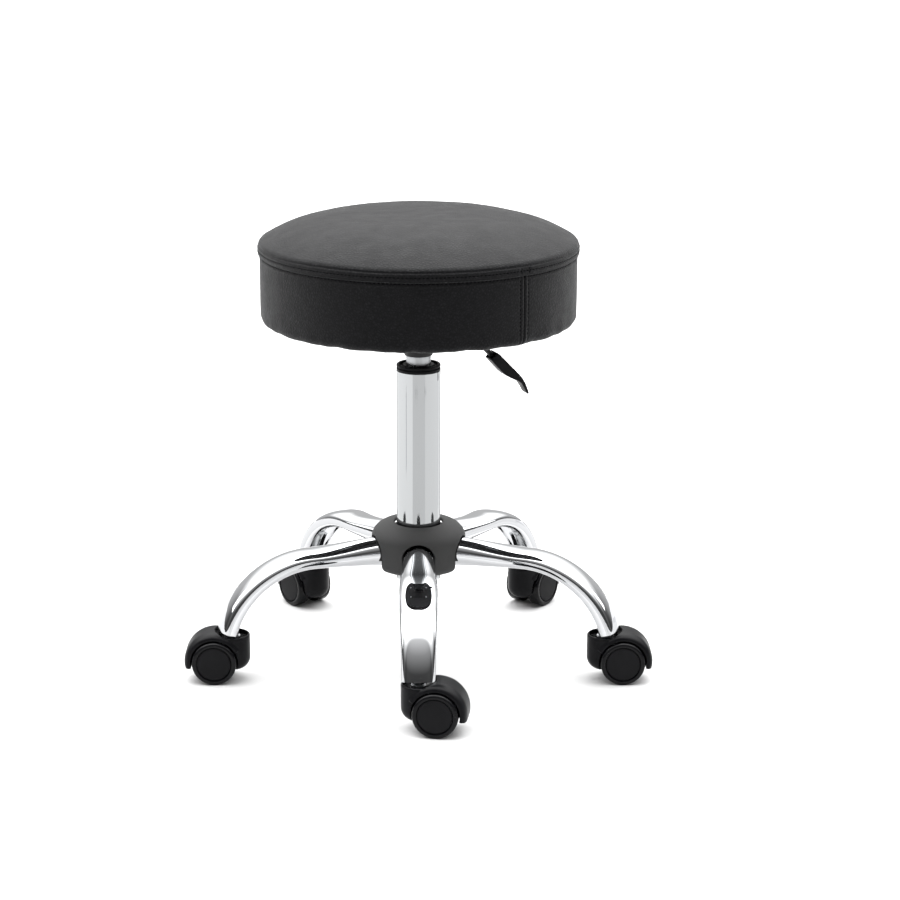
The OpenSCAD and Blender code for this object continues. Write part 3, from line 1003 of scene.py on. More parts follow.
    def hem_relief(self, rise: float, turn: float) -> float:
        """Return how far the sewn hem above the seam stands out at a height over it."""
        row = rise - self.stitch_gap
        across = ((turn - math.radians(self.seam_azimuth) + math.pi) % TURN - math.pi) * self.rim_r
        lift = 0.4 * bump_at(rise, 1.5, 1.0) + 0.4 * bump_at(rise, 5.6, 1.5)
        lift -= 0.3 * bump_at(row, 0, 0.9) + 0.2 * bump_at(row, 0, 6.0) * (1 + self.pucker(turn)) / 2
        lift -= 0.7 * bump_at(rise, 8.2, 1.0)
        for place in (-self.seam_rows, 0.0, self.seam_rows):
            lift -= 0.6 * bump_at(across, place, 1.1) * ease((9.5 - rise) / 2)
        return lift

    def band_line(self) -> list[Point]:
        """List the outline of the side band from the seam to its hidden edge under the board."""
        r, q, z = self.band_r, self.under_round, self.base_z
        top = self.seam_z - 1.2
        hem = top - 0.8 - 12
        fall = [(r, top - 0.8 - 12 * k / 22) for k in range(22)]
        fall += [(r, hem - (hem - z - q) * k / 18) for k in range(19)]
        under = [(self.board_edge - self.turned_in * k / 6, z) for k in range(7)]
        return [(r - 1.1, top)] + fall + arc(r - q, z + q, q, q, 0, -90, 12)[1:] + under[1:]

    def build_band(self) -> None:
        """Build the side band, with its upright seam and its tucked lower edge."""
        bm = turned(self.band_line(), self.band_steps, False)
        seam = math.radians(self.seam_azimuth)
        along = Vector((-math.sin(seam), math.cos(seam), 0))
        side = [f for f in bm.faces if f.calc_center_median().dot(along.cross(Vector((0, 0, 1)))) > 0]
        rows = (-self.seam_rows, 0.0, self.seam_rows)
        for shift in (place + step for place in rows for step in (-1.4, -0.7, 0.0, 0.7, 1.4)):
            geom = side + list({e for f in side for e in f.edges} | {v for f in side for v in f.verts})
            cut = bmesh.ops.bisect_plane(
                bm, geom=geom, dist=1e-4, plane_co=along * shift, plane_no=along
            )
            side = [g for g in cut["geom"] if isinstance(g, bmesh.types.BMFace)]
        for v in bm.verts:
            self._shape_band(v, seam)
        bmesh.ops.recalc_face_normals(bm, faces=bm.faces)
        outward = next(f for f in bm.faces if f.calc_center_median().z > self.base_z + 30)
        middle = outward.calc_center_median()
        if outward.normal.dot(Vector((middle.x, middle.y, 0))) < 0:
            bmesh.ops.reverse_faces(bm, faces=bm.faces)
        bmesh.ops.solidify(bm, geom=bm.faces, thickness=self.cover)
        to_piece(bm, "seat_side_band", LEATHER, Body.SEAT.value, ("cover_side_band",), 60)

    def _shape_band(self, v: bmesh.types.BMVert, seam: float) -> None:
        """Move one point of the band for seams, puckers and tucks."""
        turn = math.atan2(v.co.y, v.co.x)
        out = Vector((math.cos(turn), math.sin(turn), 0))
        z, r = v.co.z, math.hypot(v.co.x, v.co.y)
        up = (z - self.base_z) / (self.seam_z - self.base_z)
        row = z - self.seam_z + self.stitch_gap
        move = -0.3 * bump_at(row, 0, 0.9) - 0.2 * bump_at(row, 0, 7.0) * (1 + self.pucker(turn)) / 2
        move += 0.35 * bump_at(row, 1.6, 0.9) + 0.3 * bump_at(row, -2.2, 1.3)
        move += self.band_wave * self.wave(turn) * ease(up / 0.3) * ease((1 - up) / 0.3)
        across = ((turn - seam + math.pi) % TURN - math.pi) * self.band_r
        move -= 1.1 * bump_at(across, 0, 0.8)
        for place in (-self.seam_rows, self.seam_rows):
            move -= 0.3 * bump_at(across, place, 1.0)
        move += 0.5 * bump_at(abs(across), self.seam_rows / 2, 1.9)
        fold = self.tuck(turn)
        low = ease((0.34 - up) / 0.34)
        if r > self.board_edge - 2:
            move -= self.tuck_depth * fold * low * ease((r - self.board_edge + 2) / 10)
            v.co.z += self.tuck_depth * (fold - 0.9) * low * bump_at(r, self.band_r - 5, 9)
        v.co += out * move
        v.co.z = max(v.co.z, self.base_z - 1.6)

    def build_stitches(self) -> None:
        """Sew the rows: two round the seat and two beside the upright seam."""
        bm = bmesh.new()
        gap = self.stitch_gap
        for r, z in ((self.rim_r - 0.35, self.seam_z + gap), (self.band_r - 0.35, self.seam_z - gap)):
            count = round(TURN * r / self.stitch_pitch)
            for k in range(count):
                turn = TURN * k / count
                here = r - 0.2 * (1 + self.pucker(turn)) / 2
                self._stitch(bm, turn, here, z, False)
        drop = self.seam_z - self.stitch_gap - 4 - (self.base_z + self.under_round - 4)
        for row in (-self.seam_rows, self.seam_rows):
            turn = math.radians(self.seam_azimuth) + row / self.band_r
            for k in range(int(drop / self.stitch_pitch)):
                z = self.seam_z - self.stitch_gap - 4 - k * self.stitch_pitch
                up = (z - self.base_z) / (self.seam_z - self.base_z)
                sway = self.band_wave * self.wave(turn) * ease(up / 0.3) * ease((1 - up) / 0.3)
                fold = self.tuck_depth * self.tuck(turn) * ease((0.34 - up) / 0.34)
                self._stitch(bm, turn, self.band_r - 0.3 + sway - fold, z, True)
            for rise in (1.6, 5.6):
                self._stitch(bm, turn, self.rim_r - 0.25, self.seam_z + rise, True)
        to_piece(bm, "seat_stitches", THREAD, Body.SEAT.value, (), 180)

    def _stitch(
        self, bm: bmesh.types.BMesh, turn: float, r: float, z: float, upright: bool
    ) -> None:
        """Lay one stitch as a short rounded bar, a little aslant to its row."""
        lean = math.radians(7)
        spin = Matrix.Rotation(lean if upright else math.pi / 2 + lean, 4, "X")
        place = Matrix.Rotation(turn, 4, "Z") @ Matrix.Translation((r, 0, z)) @ spin
        size = Matrix.Diagonal((self.thread / 2, self.thread / 2, self.stitch_length / 2, 1))
        bmesh.ops.create_uvsphere(bm, u_segments=6, v_segments=5, radius=1, matrix=place @ size)

    def build(self) -> None:
        """Build every piece of the cushion."""
        self.build_panel()
        self.build_band()
        self.build_stitches()


@dataclass
class SeatUnderside:
    """The backing cloth, its staples, the plate, the socket and the plywood board."""

    cloth_t: float = 0.5
    hem: float = 8.0
    staple_count: int = 30
    staple_r: float = 149.5
    wire: float = 0.9
    sag: float = 0.9
    bevel: float = 0.6

    def build_cloth(self) -> None:
        """Build the round backing cloth, pulled flat by its staples."""
        low, high = box_mm("dust_cover")
        edge, z = (high.x - low.x) / 2, high.z - 0.1
        rings = [(edge * k / 40, z) for k in range(41)]
        bm = turned(rings, 240, False)
        for v in bm.verts:
            r, turn = math.hypot(v.co.x, v.co.y), math.atan2(v.co.y, v.co.x)
            free = ease((r - 92) / 25) * ease((edge - 4 - r) / 14)
            ripple = 0.5 + 0.5 * math.cos(self.staple_count * turn - math.radians(4) * self.staple_count)
            slow = noise.noise(v.co * 0.03)
            v.co.z -= self.sag * free * (0.7 + 0.5 * slow)
            v.co.z -= 0.35 * ease((r - edge + 26) / 22) * (1 - ripple) * ease((edge + 2 - r) / 4)
            if r > edge - self.hem:
                v.co.z -= 0.25
        bmesh.ops.recalc_face_normals(bm, faces=bm.faces)
        if sum(f.normal.z for f in bm.faces) < 0:
            bmesh.ops.reverse_faces(bm, faces=bm.faces)
        bmesh.ops.solidify(bm, geom=bm.faces, thickness=self.cloth_t)
        piece = to_piece(bm, "backing_cloth", BACKING, Body.SEAT.value, ("dust_cover",), 60)

    def build_staples(self) -> None:
        """Build the crowns of the staples from round wire."""
        low, high = box_mm("cover_staples")
        z = (low.z + high.z) / 2 - 0.1
        bm = bmesh.new()
        for k in range(self.staple_count):
            turn = Matrix.Rotation(math.radians(4) + TURN * k / self.staple_count, 4, "Z")
            lie = turn @ Matrix.Translation((self.staple_r, 0, z)) @ Matrix.Rotation(math.pi / 2, 4, "X")
            size = Matrix.Diagonal((self.wire / 2, self.wire / 2, 5.0, 1))
            bmesh.ops.create_uvsphere(bm, u_segments=8, v_segments=6, radius=1, matrix=lie @ size)
        for v in bm.verts:
            v.co.z = max(v.co.z, low.z)
        to_piece(bm, "backing_staples", ZINC_PLATE, Body.SEAT.value, ("cover_staples",), 180)

    def build_socket(self) -> None:
        """Build the tapered cup that grips the cylinder, open where the lever comes out."""
        low, high = box_mm("taper_socket")
        lip, plate = low.z, high.z
        base = self.socket_profile(lip, plate)
        slot_z = box_mm("lever_rod")[1].z - 8
        mouth = block_shape((0, -4, slot_z - 3.4), (40, 4, plate + 10))
        placed(mouth, Matrix.Rotation(math.radians(LeverArm.azimuth), 4, "Z"))
        bm = carved(turned(base, 128), cut=[mouth])
        soften(bm, 0.35, 50, 2)
        to_piece(bm, "taper_cup", POWDER_COAT, Body.SEAT.value, ("taper_socket",), 35)

    @staticmethod
    def socket_profile(lip: float, plate: float) -> list[Point]:
        """Outline the cup's wall between its lip and the plate."""
        outer = [(16.0, lip + 5), (17.5, plate - 8)] + arc(22.0, plate - 6.2, 4.5, 6.1, 180, 90, 6)
        rolled = [(14.02, lip + 1.3)] + arc(15.1, lip + 1.1, 0.95, 1.1, 180, 360, 10)
        return rolled + outer + [(13.82, plate), (13.02, plate - 13)]

    def build(self) -> None:
        """Build every piece under the cushion."""
        self.build_cloth()
        self.build_staples()
        self.build_socket()
        for node, finish, width in (
            ("mounting_plate", POWDER_COAT, self.bevel),
            ("lever_bracket", POWDER_COAT, 0.4),
            ("plate_bolts", ZINC_PLATE, 0.35),
            ("lever_pin", ZINC_PLATE, 0.3),
        ):
            bm = soften(copy_of(node), width, 50, 2)
            to_piece(bm, node + "_finished", finish, Body.SEAT.value, (node,), 35)
        dress_node("tee_nuts", ZINC_PLATE)
        dress_node("seat_board", PLYWOOD)


# ---------- gas lift and lever ----------


@dataclass
class GasLift:
    """The chromed column, its collar and the cylinder, rod and button inside it."""

    tube_wall: float = 1.5
    steps: int = 128

    def build_column(self) -> None:
        """Build the chromed column tube."""
        low, high = box_mm("outer_tube")
        r, foot, top = (high.x - low.x) / 2, low.z, high.z
        inner = r - self.tube_wall
        wall = [(inner, foot), (r - 0.4, foot), (r, foot + 0.4)]
        wall += [(r, foot + 0.4 + (top - foot - 0.8) * k / 12) for k in range(1, 13)]
        bm = turned(wall + [(r - 0.4, top), (inner, top)], self.steps)
        # The column wears the darker copy of the chrome, whose colour holds painted shade.
        to_piece(bm, "column_tube", SHADED_CHROME_TUBE, Body.BASE.value, ("outer_tube",), 30)

    def build_collar(self) -> None:
        """Build the guide sleeve and its two-rimmed collar with a sunk ring on top."""
        low, high = box_mm("column_bush")
        out, top, foot = (high.x - low.x) / 2, high.z, low.z
        seat = box_mm("outer_tube")[1].z
        bore, guide = 14.05, 23.48
        rim = [(guide, foot + 1), (guide, seat + 0.05), (out - 0.9, seat + 0.05)]
        rim += arc(out - 0.9, seat + 0.95, 0.9, 0.9, -90, 0, 4)
        rim += [(out, seat + 2.4), (out - 0.4, seat + 2.9), (out - 1.3, seat + 3.1)]
        rim += [(out - 1.3, seat + 3.8), (out - 0.5, seat + 4.0), (out, seat + 4.5)]
        rim += arc(out - 0.9, top - 0.9, 0.9, 0.9, 0, 90, 5)
        rim += [(out - 2.5, top), (out - 2.9, top - 0.4), (out - 3.2, top - 2.4)]
        rim += [(bore + 4.1, top - 2.4), (bore + 3.7, top - 1.0), (bore + 3.3, top - 0.6)]
        rim += [(bore + 0.5, top - 0.6), (bore, top - 1.1), (bore, foot), (guide - 1, foot)]
        bm = turned(rim, self.steps)
        to_piece(bm, "column_collar", NYLON_SMOOTH, Body.BASE.value, ("column_bush",), 30)

    def build_cylinder(self) -> None:
        """Build the satin cylinder with its tapered head."""
        low, high = box_mm("gas_cylinder")
        r, foot, top = (high.x - low.x) / 2, low.z, high.z
        bore, button = r - 2, 4.55
        lip = box_mm("taper_socket")[0].z
        line = [(bore, foot), (r - 0.6, foot), (r, foot + 0.6), (r, lip - 12), (r, lip + 1.4)]
        line += [(r - 1, top - 0.6), (r - 1.6, top), (button, top), (button, top - 12)]
        line += [(0, top - 12), (0, top - 45), (bore, top - 45)]
        to_piece(
            turned(line, self.steps), "gas_spring_cylinder", SATIN_STEEL, Body.SEAT.value, ("gas_cylinder",), 30
        )

    def build(self) -> None:
        """Build the lift's visible pieces and dress what it hides."""
        self.build_column()
        self.build_collar()
        self.build_cylinder()
        for node, finish in (
            ("piston_rod", GROUND_ROD),
            ("piston", RUBBER),
            ("cylinder_seal", RUBBER),
            ("bearing_upper_race", ZINC_PLATE),
            ("bearing_lower_race", ZINC_PLATE),
            ("bearing_balls", ZINC_PLATE),
            ("rod_clip", ZINC_PLATE),
            ("tube_base_disc", ZINC_PLATE),
            ("release_button", SATIN_STEEL),
        ):
            dress_node(node, finish)


@dataclass
class LeverArm:
    """The bent release rod and its moulded handle."""

    azimuth: ClassVar[float] = 21.5
    slope: float = 46.5
    root_x: float = 88.9
    root_z: float = 352.0
    length: float = 65.0
    width: float = 19.0
    rod_r: float = 3.0

    def place(self) -> Matrix:
        """Return the matrix that takes the handle's own frame to the stool's."""
        turn = Matrix.Rotation(math.radians(self.azimuth), 4, "Z")
        shift = Matrix.Translation((self.root_x, 0, self.root_z))
        return turn @ shift @ Matrix.Rotation(math.radians(self.slope), 4, "Y")

    def outline(self) -> list[Point]:
        """Outline the handle from the side, as (along, up) from its root."""
        n = self.length
        over = [(0, 5.4), (2.5, 5.95), (n * 0.3, 6.2), (n * 0.6, 6.4), (n * 0.7, 5.9), (n * 0.8, 4.6)]
        tip = [(n * 0.9, 2.3), (n * 0.97, 0.3), (n, -0.8), (n - 0.8, -2.2), (n * 0.94, -1.9)]
        hollow = [(n * 0.85, -0.2), (n * 0.75, 1.0), (n * 0.67, 0.3), (n * 0.6, -1.7)]
        under = [(n * 0.5, -4.0), (n * 0.42, -5.5), (n * 0.34, -6.0), (n * 0.15, -5.8), (0, -5.4)]
        return over + tip + hollow + under

    def build_handle(self) -> None:
        """Build the handle: a rounded wedge with an open mouth at its root."""
        bm = bmesh.new()
        half = self.width / 2
        line = loop_of(bm, ((x, -half, z) for x, z in self.outline()))
        face = bmesh.ops.contextual_create(bm, geom=line)["faces"]
        grown = bmesh.ops.extrude_face_region(bm, geom=face)
        tops = [g for g in grown["geom"] if isinstance(g, bmesh.types.BMVert)]
        bmesh.ops.translate(bm, vec=(0, self.width, 0), verts=tops)
        tidy(bm)
        for v in bm.verts:
            v.co.y *= 1 - 0.22 * ease((v.co.x - self.length * 0.55) / (self.length * 0.45))
        soften(bm, 1.3, 50, 3, lambda p: p.x > 0.4)
        mouth = block_shape((-1, 1.8 - half, -3.9), (10, half - 1.8, 3.9))
        bore = placed(rod_shape(self.rod_r + 0.02, 56), Matrix.Rotation(math.pi / 2, 4, "Y"))
        bm = carved(bm, cut=[mouth, bore])
        soften(bm, 0.4, 60, 2, lambda p: p.x < 1)
        placed(bm, self.place())
        to_piece(bm, "lever_grip", NYLON_SMOOTH, Body.LEVER.value, ("lever_handle",), 35)

    def build(self) -> None:
        """Build the handle and finish the rod."""
        self.build_handle()
        bm = soften(copy_of("lever_rod"), 0.5, 50, 2)
        to_piece(bm, "lever_rod_finished", POWDER_COAT, Body.LEVER.value, ("lever_rod",), 35)


# ---------- star base ----------


@dataclass
class HubCover:
    """The domed plastic cover where the legs meet the column."""

    wall: float = 2.4
    dome: float = 18.0
    arch: float = 18.95
    hole: float = 27.4
    leg_z: float = 134.0
    curl: float = 8.6
    steps: int = 180

    def build(self) -> None:
        """Build the cover with an arch over each leg."""
        low, high = box_mm("hub_cover")
        r, foot, top = (high.x - low.x) / 2, low.z, high.z
        shoulder = top - self.dome
        rim, reach = self.hole + 2, r - self.hole - 2
        curl_z = foot + self.curl
        under = arc(r - self.curl, curl_z, self.curl, self.curl, -75, 0, 10)
        draft = under + [(r, curl_z + (shoulder - curl_z) * k / 6) for k in range(1, 6)]
        skin = arc(rim, shoulder, reach, self.dome, 0, 90, 22)
        lip = arc(rim, top - 1.6, 2.0, 1.6, 90, 180, 5)[1:]
        inner = arc(rim, shoulder, reach - self.wall, self.dome - self.wall, 90, 0, 18)
        low_in = [(r - self.wall, curl_z + 1), (under[0][0] + 0.4, under[0][1] + self.wall)]
        line = draft + skin + lip + [(self.hole, top - 3.4)] + inner + low_in
        cuts = []
        for k in range(5):
            turn = Matrix.Rotation(math.radians(72 * k - 90), 4, "Z")
            round_cut = placed(rod_shape(self.arch, 30, 96), Matrix.Rotation(math.pi / 2, 4, "Y"))
            cuts.append(placed(round_cut, turn @ Matrix.Translation((49, 0, self.leg_z))))
            low_cut = block_shape((34, -self.arch, foot - 3), (64, self.arch, self.leg_z))
            cuts.append(placed(low_cut, turn))
        bm = carved(turned(line, self.steps), cut=cuts)
        bmesh.ops.remove_doubles(bm, verts=bm.verts, dist=0.02)
        soften(bm, 0.6, 48, 2)
        to_piece(bm, "hub_shroud", NYLON, Body.BASE.value, ("hub_cover",), 32)
        dress_node("hub_sleeve", POWDER_COAT)


@dataclass
class StarLegs:
    """Five chromed tubes, pressed flat and grooved beneath, each bent down to its caster."""

    tube_d: float = 33.5
    knee_w: float = 42.0
    end_w: float = 37.0
    flat_h: float = 20.0
    groove_depth: float = 13.0
    top_flat: float = 0.2
    wall: float = 1.5
    root: float = 28.7
    straight: float = 127.0
    bend_r: float = 102.0
    bend: float = 75.5
    crush_from: float = 45.0
    crush_to: float = 130.0
    hub_z: float = 134.0
    rings: int = 100
    points: int = 72

    def crush(self, x: float) -> float:
        """Return the share of the way from round tube to pressed shape at radius x."""
        return ease((x - self.crush_from) / (self.crush_to - self.crush_from))

    def outline(self, angle: float, width: float, height: float, c: float) -> Point:
        """Return a point of the leg's section.

        Args:
            angle: place round the section in radians, with the top at a quarter turn.
            width, height: overall size.
            c: share of the pressing.

        Returns:
            (across, outward).
        """
        across, outward = math.cos(angle), math.sin(angle)
        if outward >= 0:
            flat = 1 - self.top_flat * c
            x = math.copysign(abs(across) ** flat, across)
            return (width / 2 * x, height / 2 * outward**flat)
        power = 1 - 0.35 * c
        x = math.copysign(abs(across) ** power, across)
        y = -(abs(outward) ** power)
        rise = 1 - ease((abs(x) - 0.26) / 0.5)
        lift = c * self.groove_depth * rise * abs(outward) ** 0.5
        return (width / 2 * x, height / 2 * y + lift)

    def spot(self, along: float, angle: float) -> Vector:
        """Return the place on the leg's skin at a share of its length and an angle round it."""
        run = self.straight - self.root
        turn = math.radians(self.bend)
        travel = along * (run + self.bend_r * turn)
        if travel < run:
            x, z, tilt, share = self.root + travel, self.hub_z, 0.0, 0.0
        else:
            tilt = (travel - run) / self.bend_r
            x = self.straight + self.bend_r * math.sin(tilt)
            z = self.hub_z - self.bend_r * (1 - math.cos(tilt))
            share = tilt / turn
        c = self.crush(x)
        width = self.tube_d + (self.knee_w - self.tube_d) * c
        width -= (self.knee_w - self.end_w) * ease((share - 0.3) / 0.7)
        height = self.tube_d - (self.tube_d - self.flat_h) * c
        across, outward = self.outline(angle, width, height, c)
        return Vector((x + outward * math.sin(tilt), across, z + outward * math.cos(tilt)))

    def tube(self) -> bmesh.types.BMesh:
        """Make one leg, lying along +X, as a tube that follows its section and its bend."""
        bm = bmesh.new()
        bmesh.ops.create_cone(
            bm, cap_ends=False, segments=self.points, radius1=1, radius2=1, depth=1
        )
        long_edges = [e for e in bm.edges if abs(e.verts[0].co.z - e.verts[1].co.z) > 0.5]
        bmesh.ops.subdivide_edges(bm, edges=long_edges, cuts=self.rings - 1, use_grid_fill=True)
        for v in bm.verts:
            v.co = self.spot(v.co.z + 0.5, math.atan2(v.co.y, v.co.x) % TURN)
        bmesh.ops.recalc_face_normals(bm, faces=bm.faces)
        top = max(bm.faces, key=lambda f: f.calc_center_median().z)
        if top.normal.z < 0:
            bmesh.ops.reverse_faces(bm, faces=bm.faces)
        bmesh.ops.solidify(bm, geom=bm.faces, thickness=self.wall)
        return bm

    def build(self) -> None:
        """Build the legs, and finish the sleeves and screws under their ends."""
        tube = self.tube()
        for k in range(5):
            turn = Matrix.Rotation(math.radians(72 * k - 90), 4, "Z")
            name, leg = f"leg_{k + 1}", placed(tube.copy(), turn)
            to_piece(leg, f"bent_{name}", CHROME_LEG, Body.BASE.value, (name,), 50)
        tube.free()
        for node, width in (("stem_sockets", 0.4), ("socket_screws", 0.2)):
            bm = soften(copy_of(node), width, 50, 2)
            to_piece(bm, node + "_finished", ZINC_PLATE, Body.BASE.value, (node,), 35)


# ---------- casters ----------


@dataclass
class Caster:
    """One twin-wheel caster in its own frame: the stem on Z, the wheels trailing along +X."""

    number: int
    moulds: ClassVar[list[bmesh.types.BMesh]] = []
    trail: float = 20.5
    wheel_r: float = 25.0
    rim_z: float = 54.0
    neck_r: float = 19.0
    web: float = 7.6
    wheel_in: float = 8.2
    wheel_w: float = 15.3
    hood_r: float = 34.0
    space_r: float = 26.4
    hood_half: float = 20.8
    hood_from: float = -13.0
    hood_sweep: float = 165.0
    boss_z: float = 50.0
    disc_r: float = 18.7
    voxel: float = 0.62

    def place(self) -> Matrix:
        """Return the matrix from the caster's frame to the stool's, read from its stem and axle."""
        stem = sum(box_mm(f"caster_{self.number}_stem"), Vector()) / 2
        axle = sum(box_mm(f"caster_{self.number}_axle"), Vector()) / 2
        yaw = math.atan2(axle.y - stem.y, axle.x - stem.x)
        return Matrix.Translation((stem.x, stem.y, 0)) @ Matrix.Rotation(yaw, 4, "Z")

    def to_axle(self) -> Matrix:
        """Return the matrix that lays a shape turned about Z along the axle."""
        return Matrix.Translation((self.trail, 0, self.wheel_r)) @ Matrix.Rotation(-math.pi / 2, 4, "X")

    def hood(self) -> bmesh.types.BMesh:
        """Make the hood as a solid sector over both wheels."""
        r, e = self.hood_r, self.hood_half
        edge = arc(r - 6, e - 11, 6, 11, 90, 0, 9)
        line = [(8, -e)] + [(x, -y) for x, y in edge] + list(reversed(edge)) + [(8, e)]
        bm = bmesh.new()
        loop = loop_of(bm, ((x, y, 0) for x, y in line))
        start = Matrix.Rotation(math.radians(self.hood_from), 4, (0, -1, 0))
        bmesh.ops.transform(bm, matrix=start, verts=bm.verts)
        bmesh.ops.spin(
            bm,
            geom=loop,
            cent=(0, 0, 0),
            axis=(0, -1, 0),
            angle=math.radians(self.hood_sweep),
            steps=66,
            use_merge=False,
        )
        bmesh.ops.holes_fill(bm, edges=[e for e in bm.edges if e.is_boundary], sides=0)
        tidy(bm)
        return placed(bm, Matrix.Translation((self.trail, 0, self.wheel_r)))

    def housing(self) -> bmesh.types.BMesh:
        """Make the housing: hood, web between the wheels, and a cup round the stem."""
        n, z = self.neck_r, self.rim_z
        neck = [(0, 13)] + arc(5, 27, 14, 14, -90, 0, 10) + [(n, z - 1.2), (n - 1.2, z), (0, z)]
        web = placed(rod_shape(self.wheel_r - 4, 2 * self.web + 3, 72), self.to_axle())
        cuts = []
        for side in Side:
            space = rod_shape(self.space_r, 30, 120)
            bmesh.ops.translate(space, vec=(0, 0, side.value * (self.web + 15)), verts=space.verts)
            cuts.append(placed(space, self.to_axle()))
        cuts.append(placed(rod_shape(n + 1.4, 20, 72), Matrix.Translation((0, 0, z + 10.02))))
        cuts.append(self.recess())
        cuts.append(placed(rod_shape(5.55, 30), Matrix.Translation((0, 0, 48.9))))
        cuts.append(placed(rod_shape(3.02, 40), self.to_axle()))
        return carved(self.hood(), add=[web, turned(neck, 72)], cut=cuts)

    def recess(self) -> bmesh.types.BMesh:
        """Make the ring-shaped pocket round the stem, with its six ribs left standing."""
        b, z = self.boss_z, self.rim_z
        inner = self.neck_r - 2.2
        pocket = turned(
            [(7.4, b - 2), (inner, b - 2), (inner, z + 2), (0, z + 2), (0, b), (7.4, b)], 72
        )
        ribs = []
        for k in range(6):
            rib = block_shape((6, -0.8, b - 3), (18, 0.8, b - 0.4))
            ribs.append(placed(rib, Matrix.Rotation(math.radians(60 * k + 30), 4, "Z")))
        return carved(pocket, cut=ribs)

    def wheel(self) -> bmesh.types.BMesh:
        """Make one wheel with a rolled glossy edge, standing on its inner face."""
        r, w, d = self.wheel_r, self.wheel_w, self.disc_r
        line = [(3.05, 0), (9, 0), (10, 2.5), (18, 2.5), (19, 0), (r - 1.2, 0)]
        line += arc(r - 1.2, 1.2, 1.2, 1.2, -90, 0, 4)[1:]
        line += [(r, 5), (r, 8), (r, w - 3.4)] + arc(r - 3.4, w - 3.4, 3.4, 3.4, 0, 78, 10)[1:]
        line += [(r - 4.6, w - 0.15), (r - 5.0, w - 0.35), (r - 5.3, w - 1.1), (d + 0.3, w - 1.5)]
        line += [(d + 0.1, w - 3.0), (0, w - 3.0), (0, w - 4.4), (3.05, w - 4.4)]
        return turned(line, 120)

    def disc(self) -> bmesh.types.BMesh:
        """Make the matt disc that is pressed into the wheel's face."""
        w, d = self.wheel_w, self.disc_r
        line = [(0, w - 2.9), (d, w - 2.9), (d, w - 1.0)] + arc(d - 0.7, w - 1.0, 0.7, 0.7, 0, 90, 4)[1:]
        line += [(d - 3, w - 0.2), (d * 0.5, w - 0.05), (0, w)]
        return turned(line, 96, False)

    def build(self) -> None:
        """Build the caster's housing, wheels and discs in place."""
        here, name = self.place(), f"caster_{self.number}"
        if not self.moulds:
            self.moulds.extend((fused(self.housing(), self.voxel), self.wheel(), self.disc()))
        hood, wheel, disc = self.moulds
        to_piece(
            placed(hood.copy(), here), f"{name}_hood", NYLON_SMOOTH, name, (f"{name}_housing",), 70
        )
        for side in Side:
            hand = side.name.lower()
            flip = Matrix.Rotation(0 if side is Side.LEFT else math.pi, 4, "X")
            out = here @ self.to_axle() @ flip @ Matrix.Translation((0, 0, self.wheel_in))
            own = f"{name}_{hand}"
            tyre = placed(wheel.copy(), out)
            to_piece(tyre, f"{name}_tyre_{hand}", WHEEL_NYLON, own, (f"{name}_wheel_{hand}",), 30)
            to_piece(placed(disc.copy(), out), f"{name}_disc_{hand}", DISC_NYLON, own, (), 30)
        dress_node(f"{name}_stem", ZINC_PLATE)
        dress_node(f"{name}_axle", ZINC_PLATE)


# ---------- studio ----------


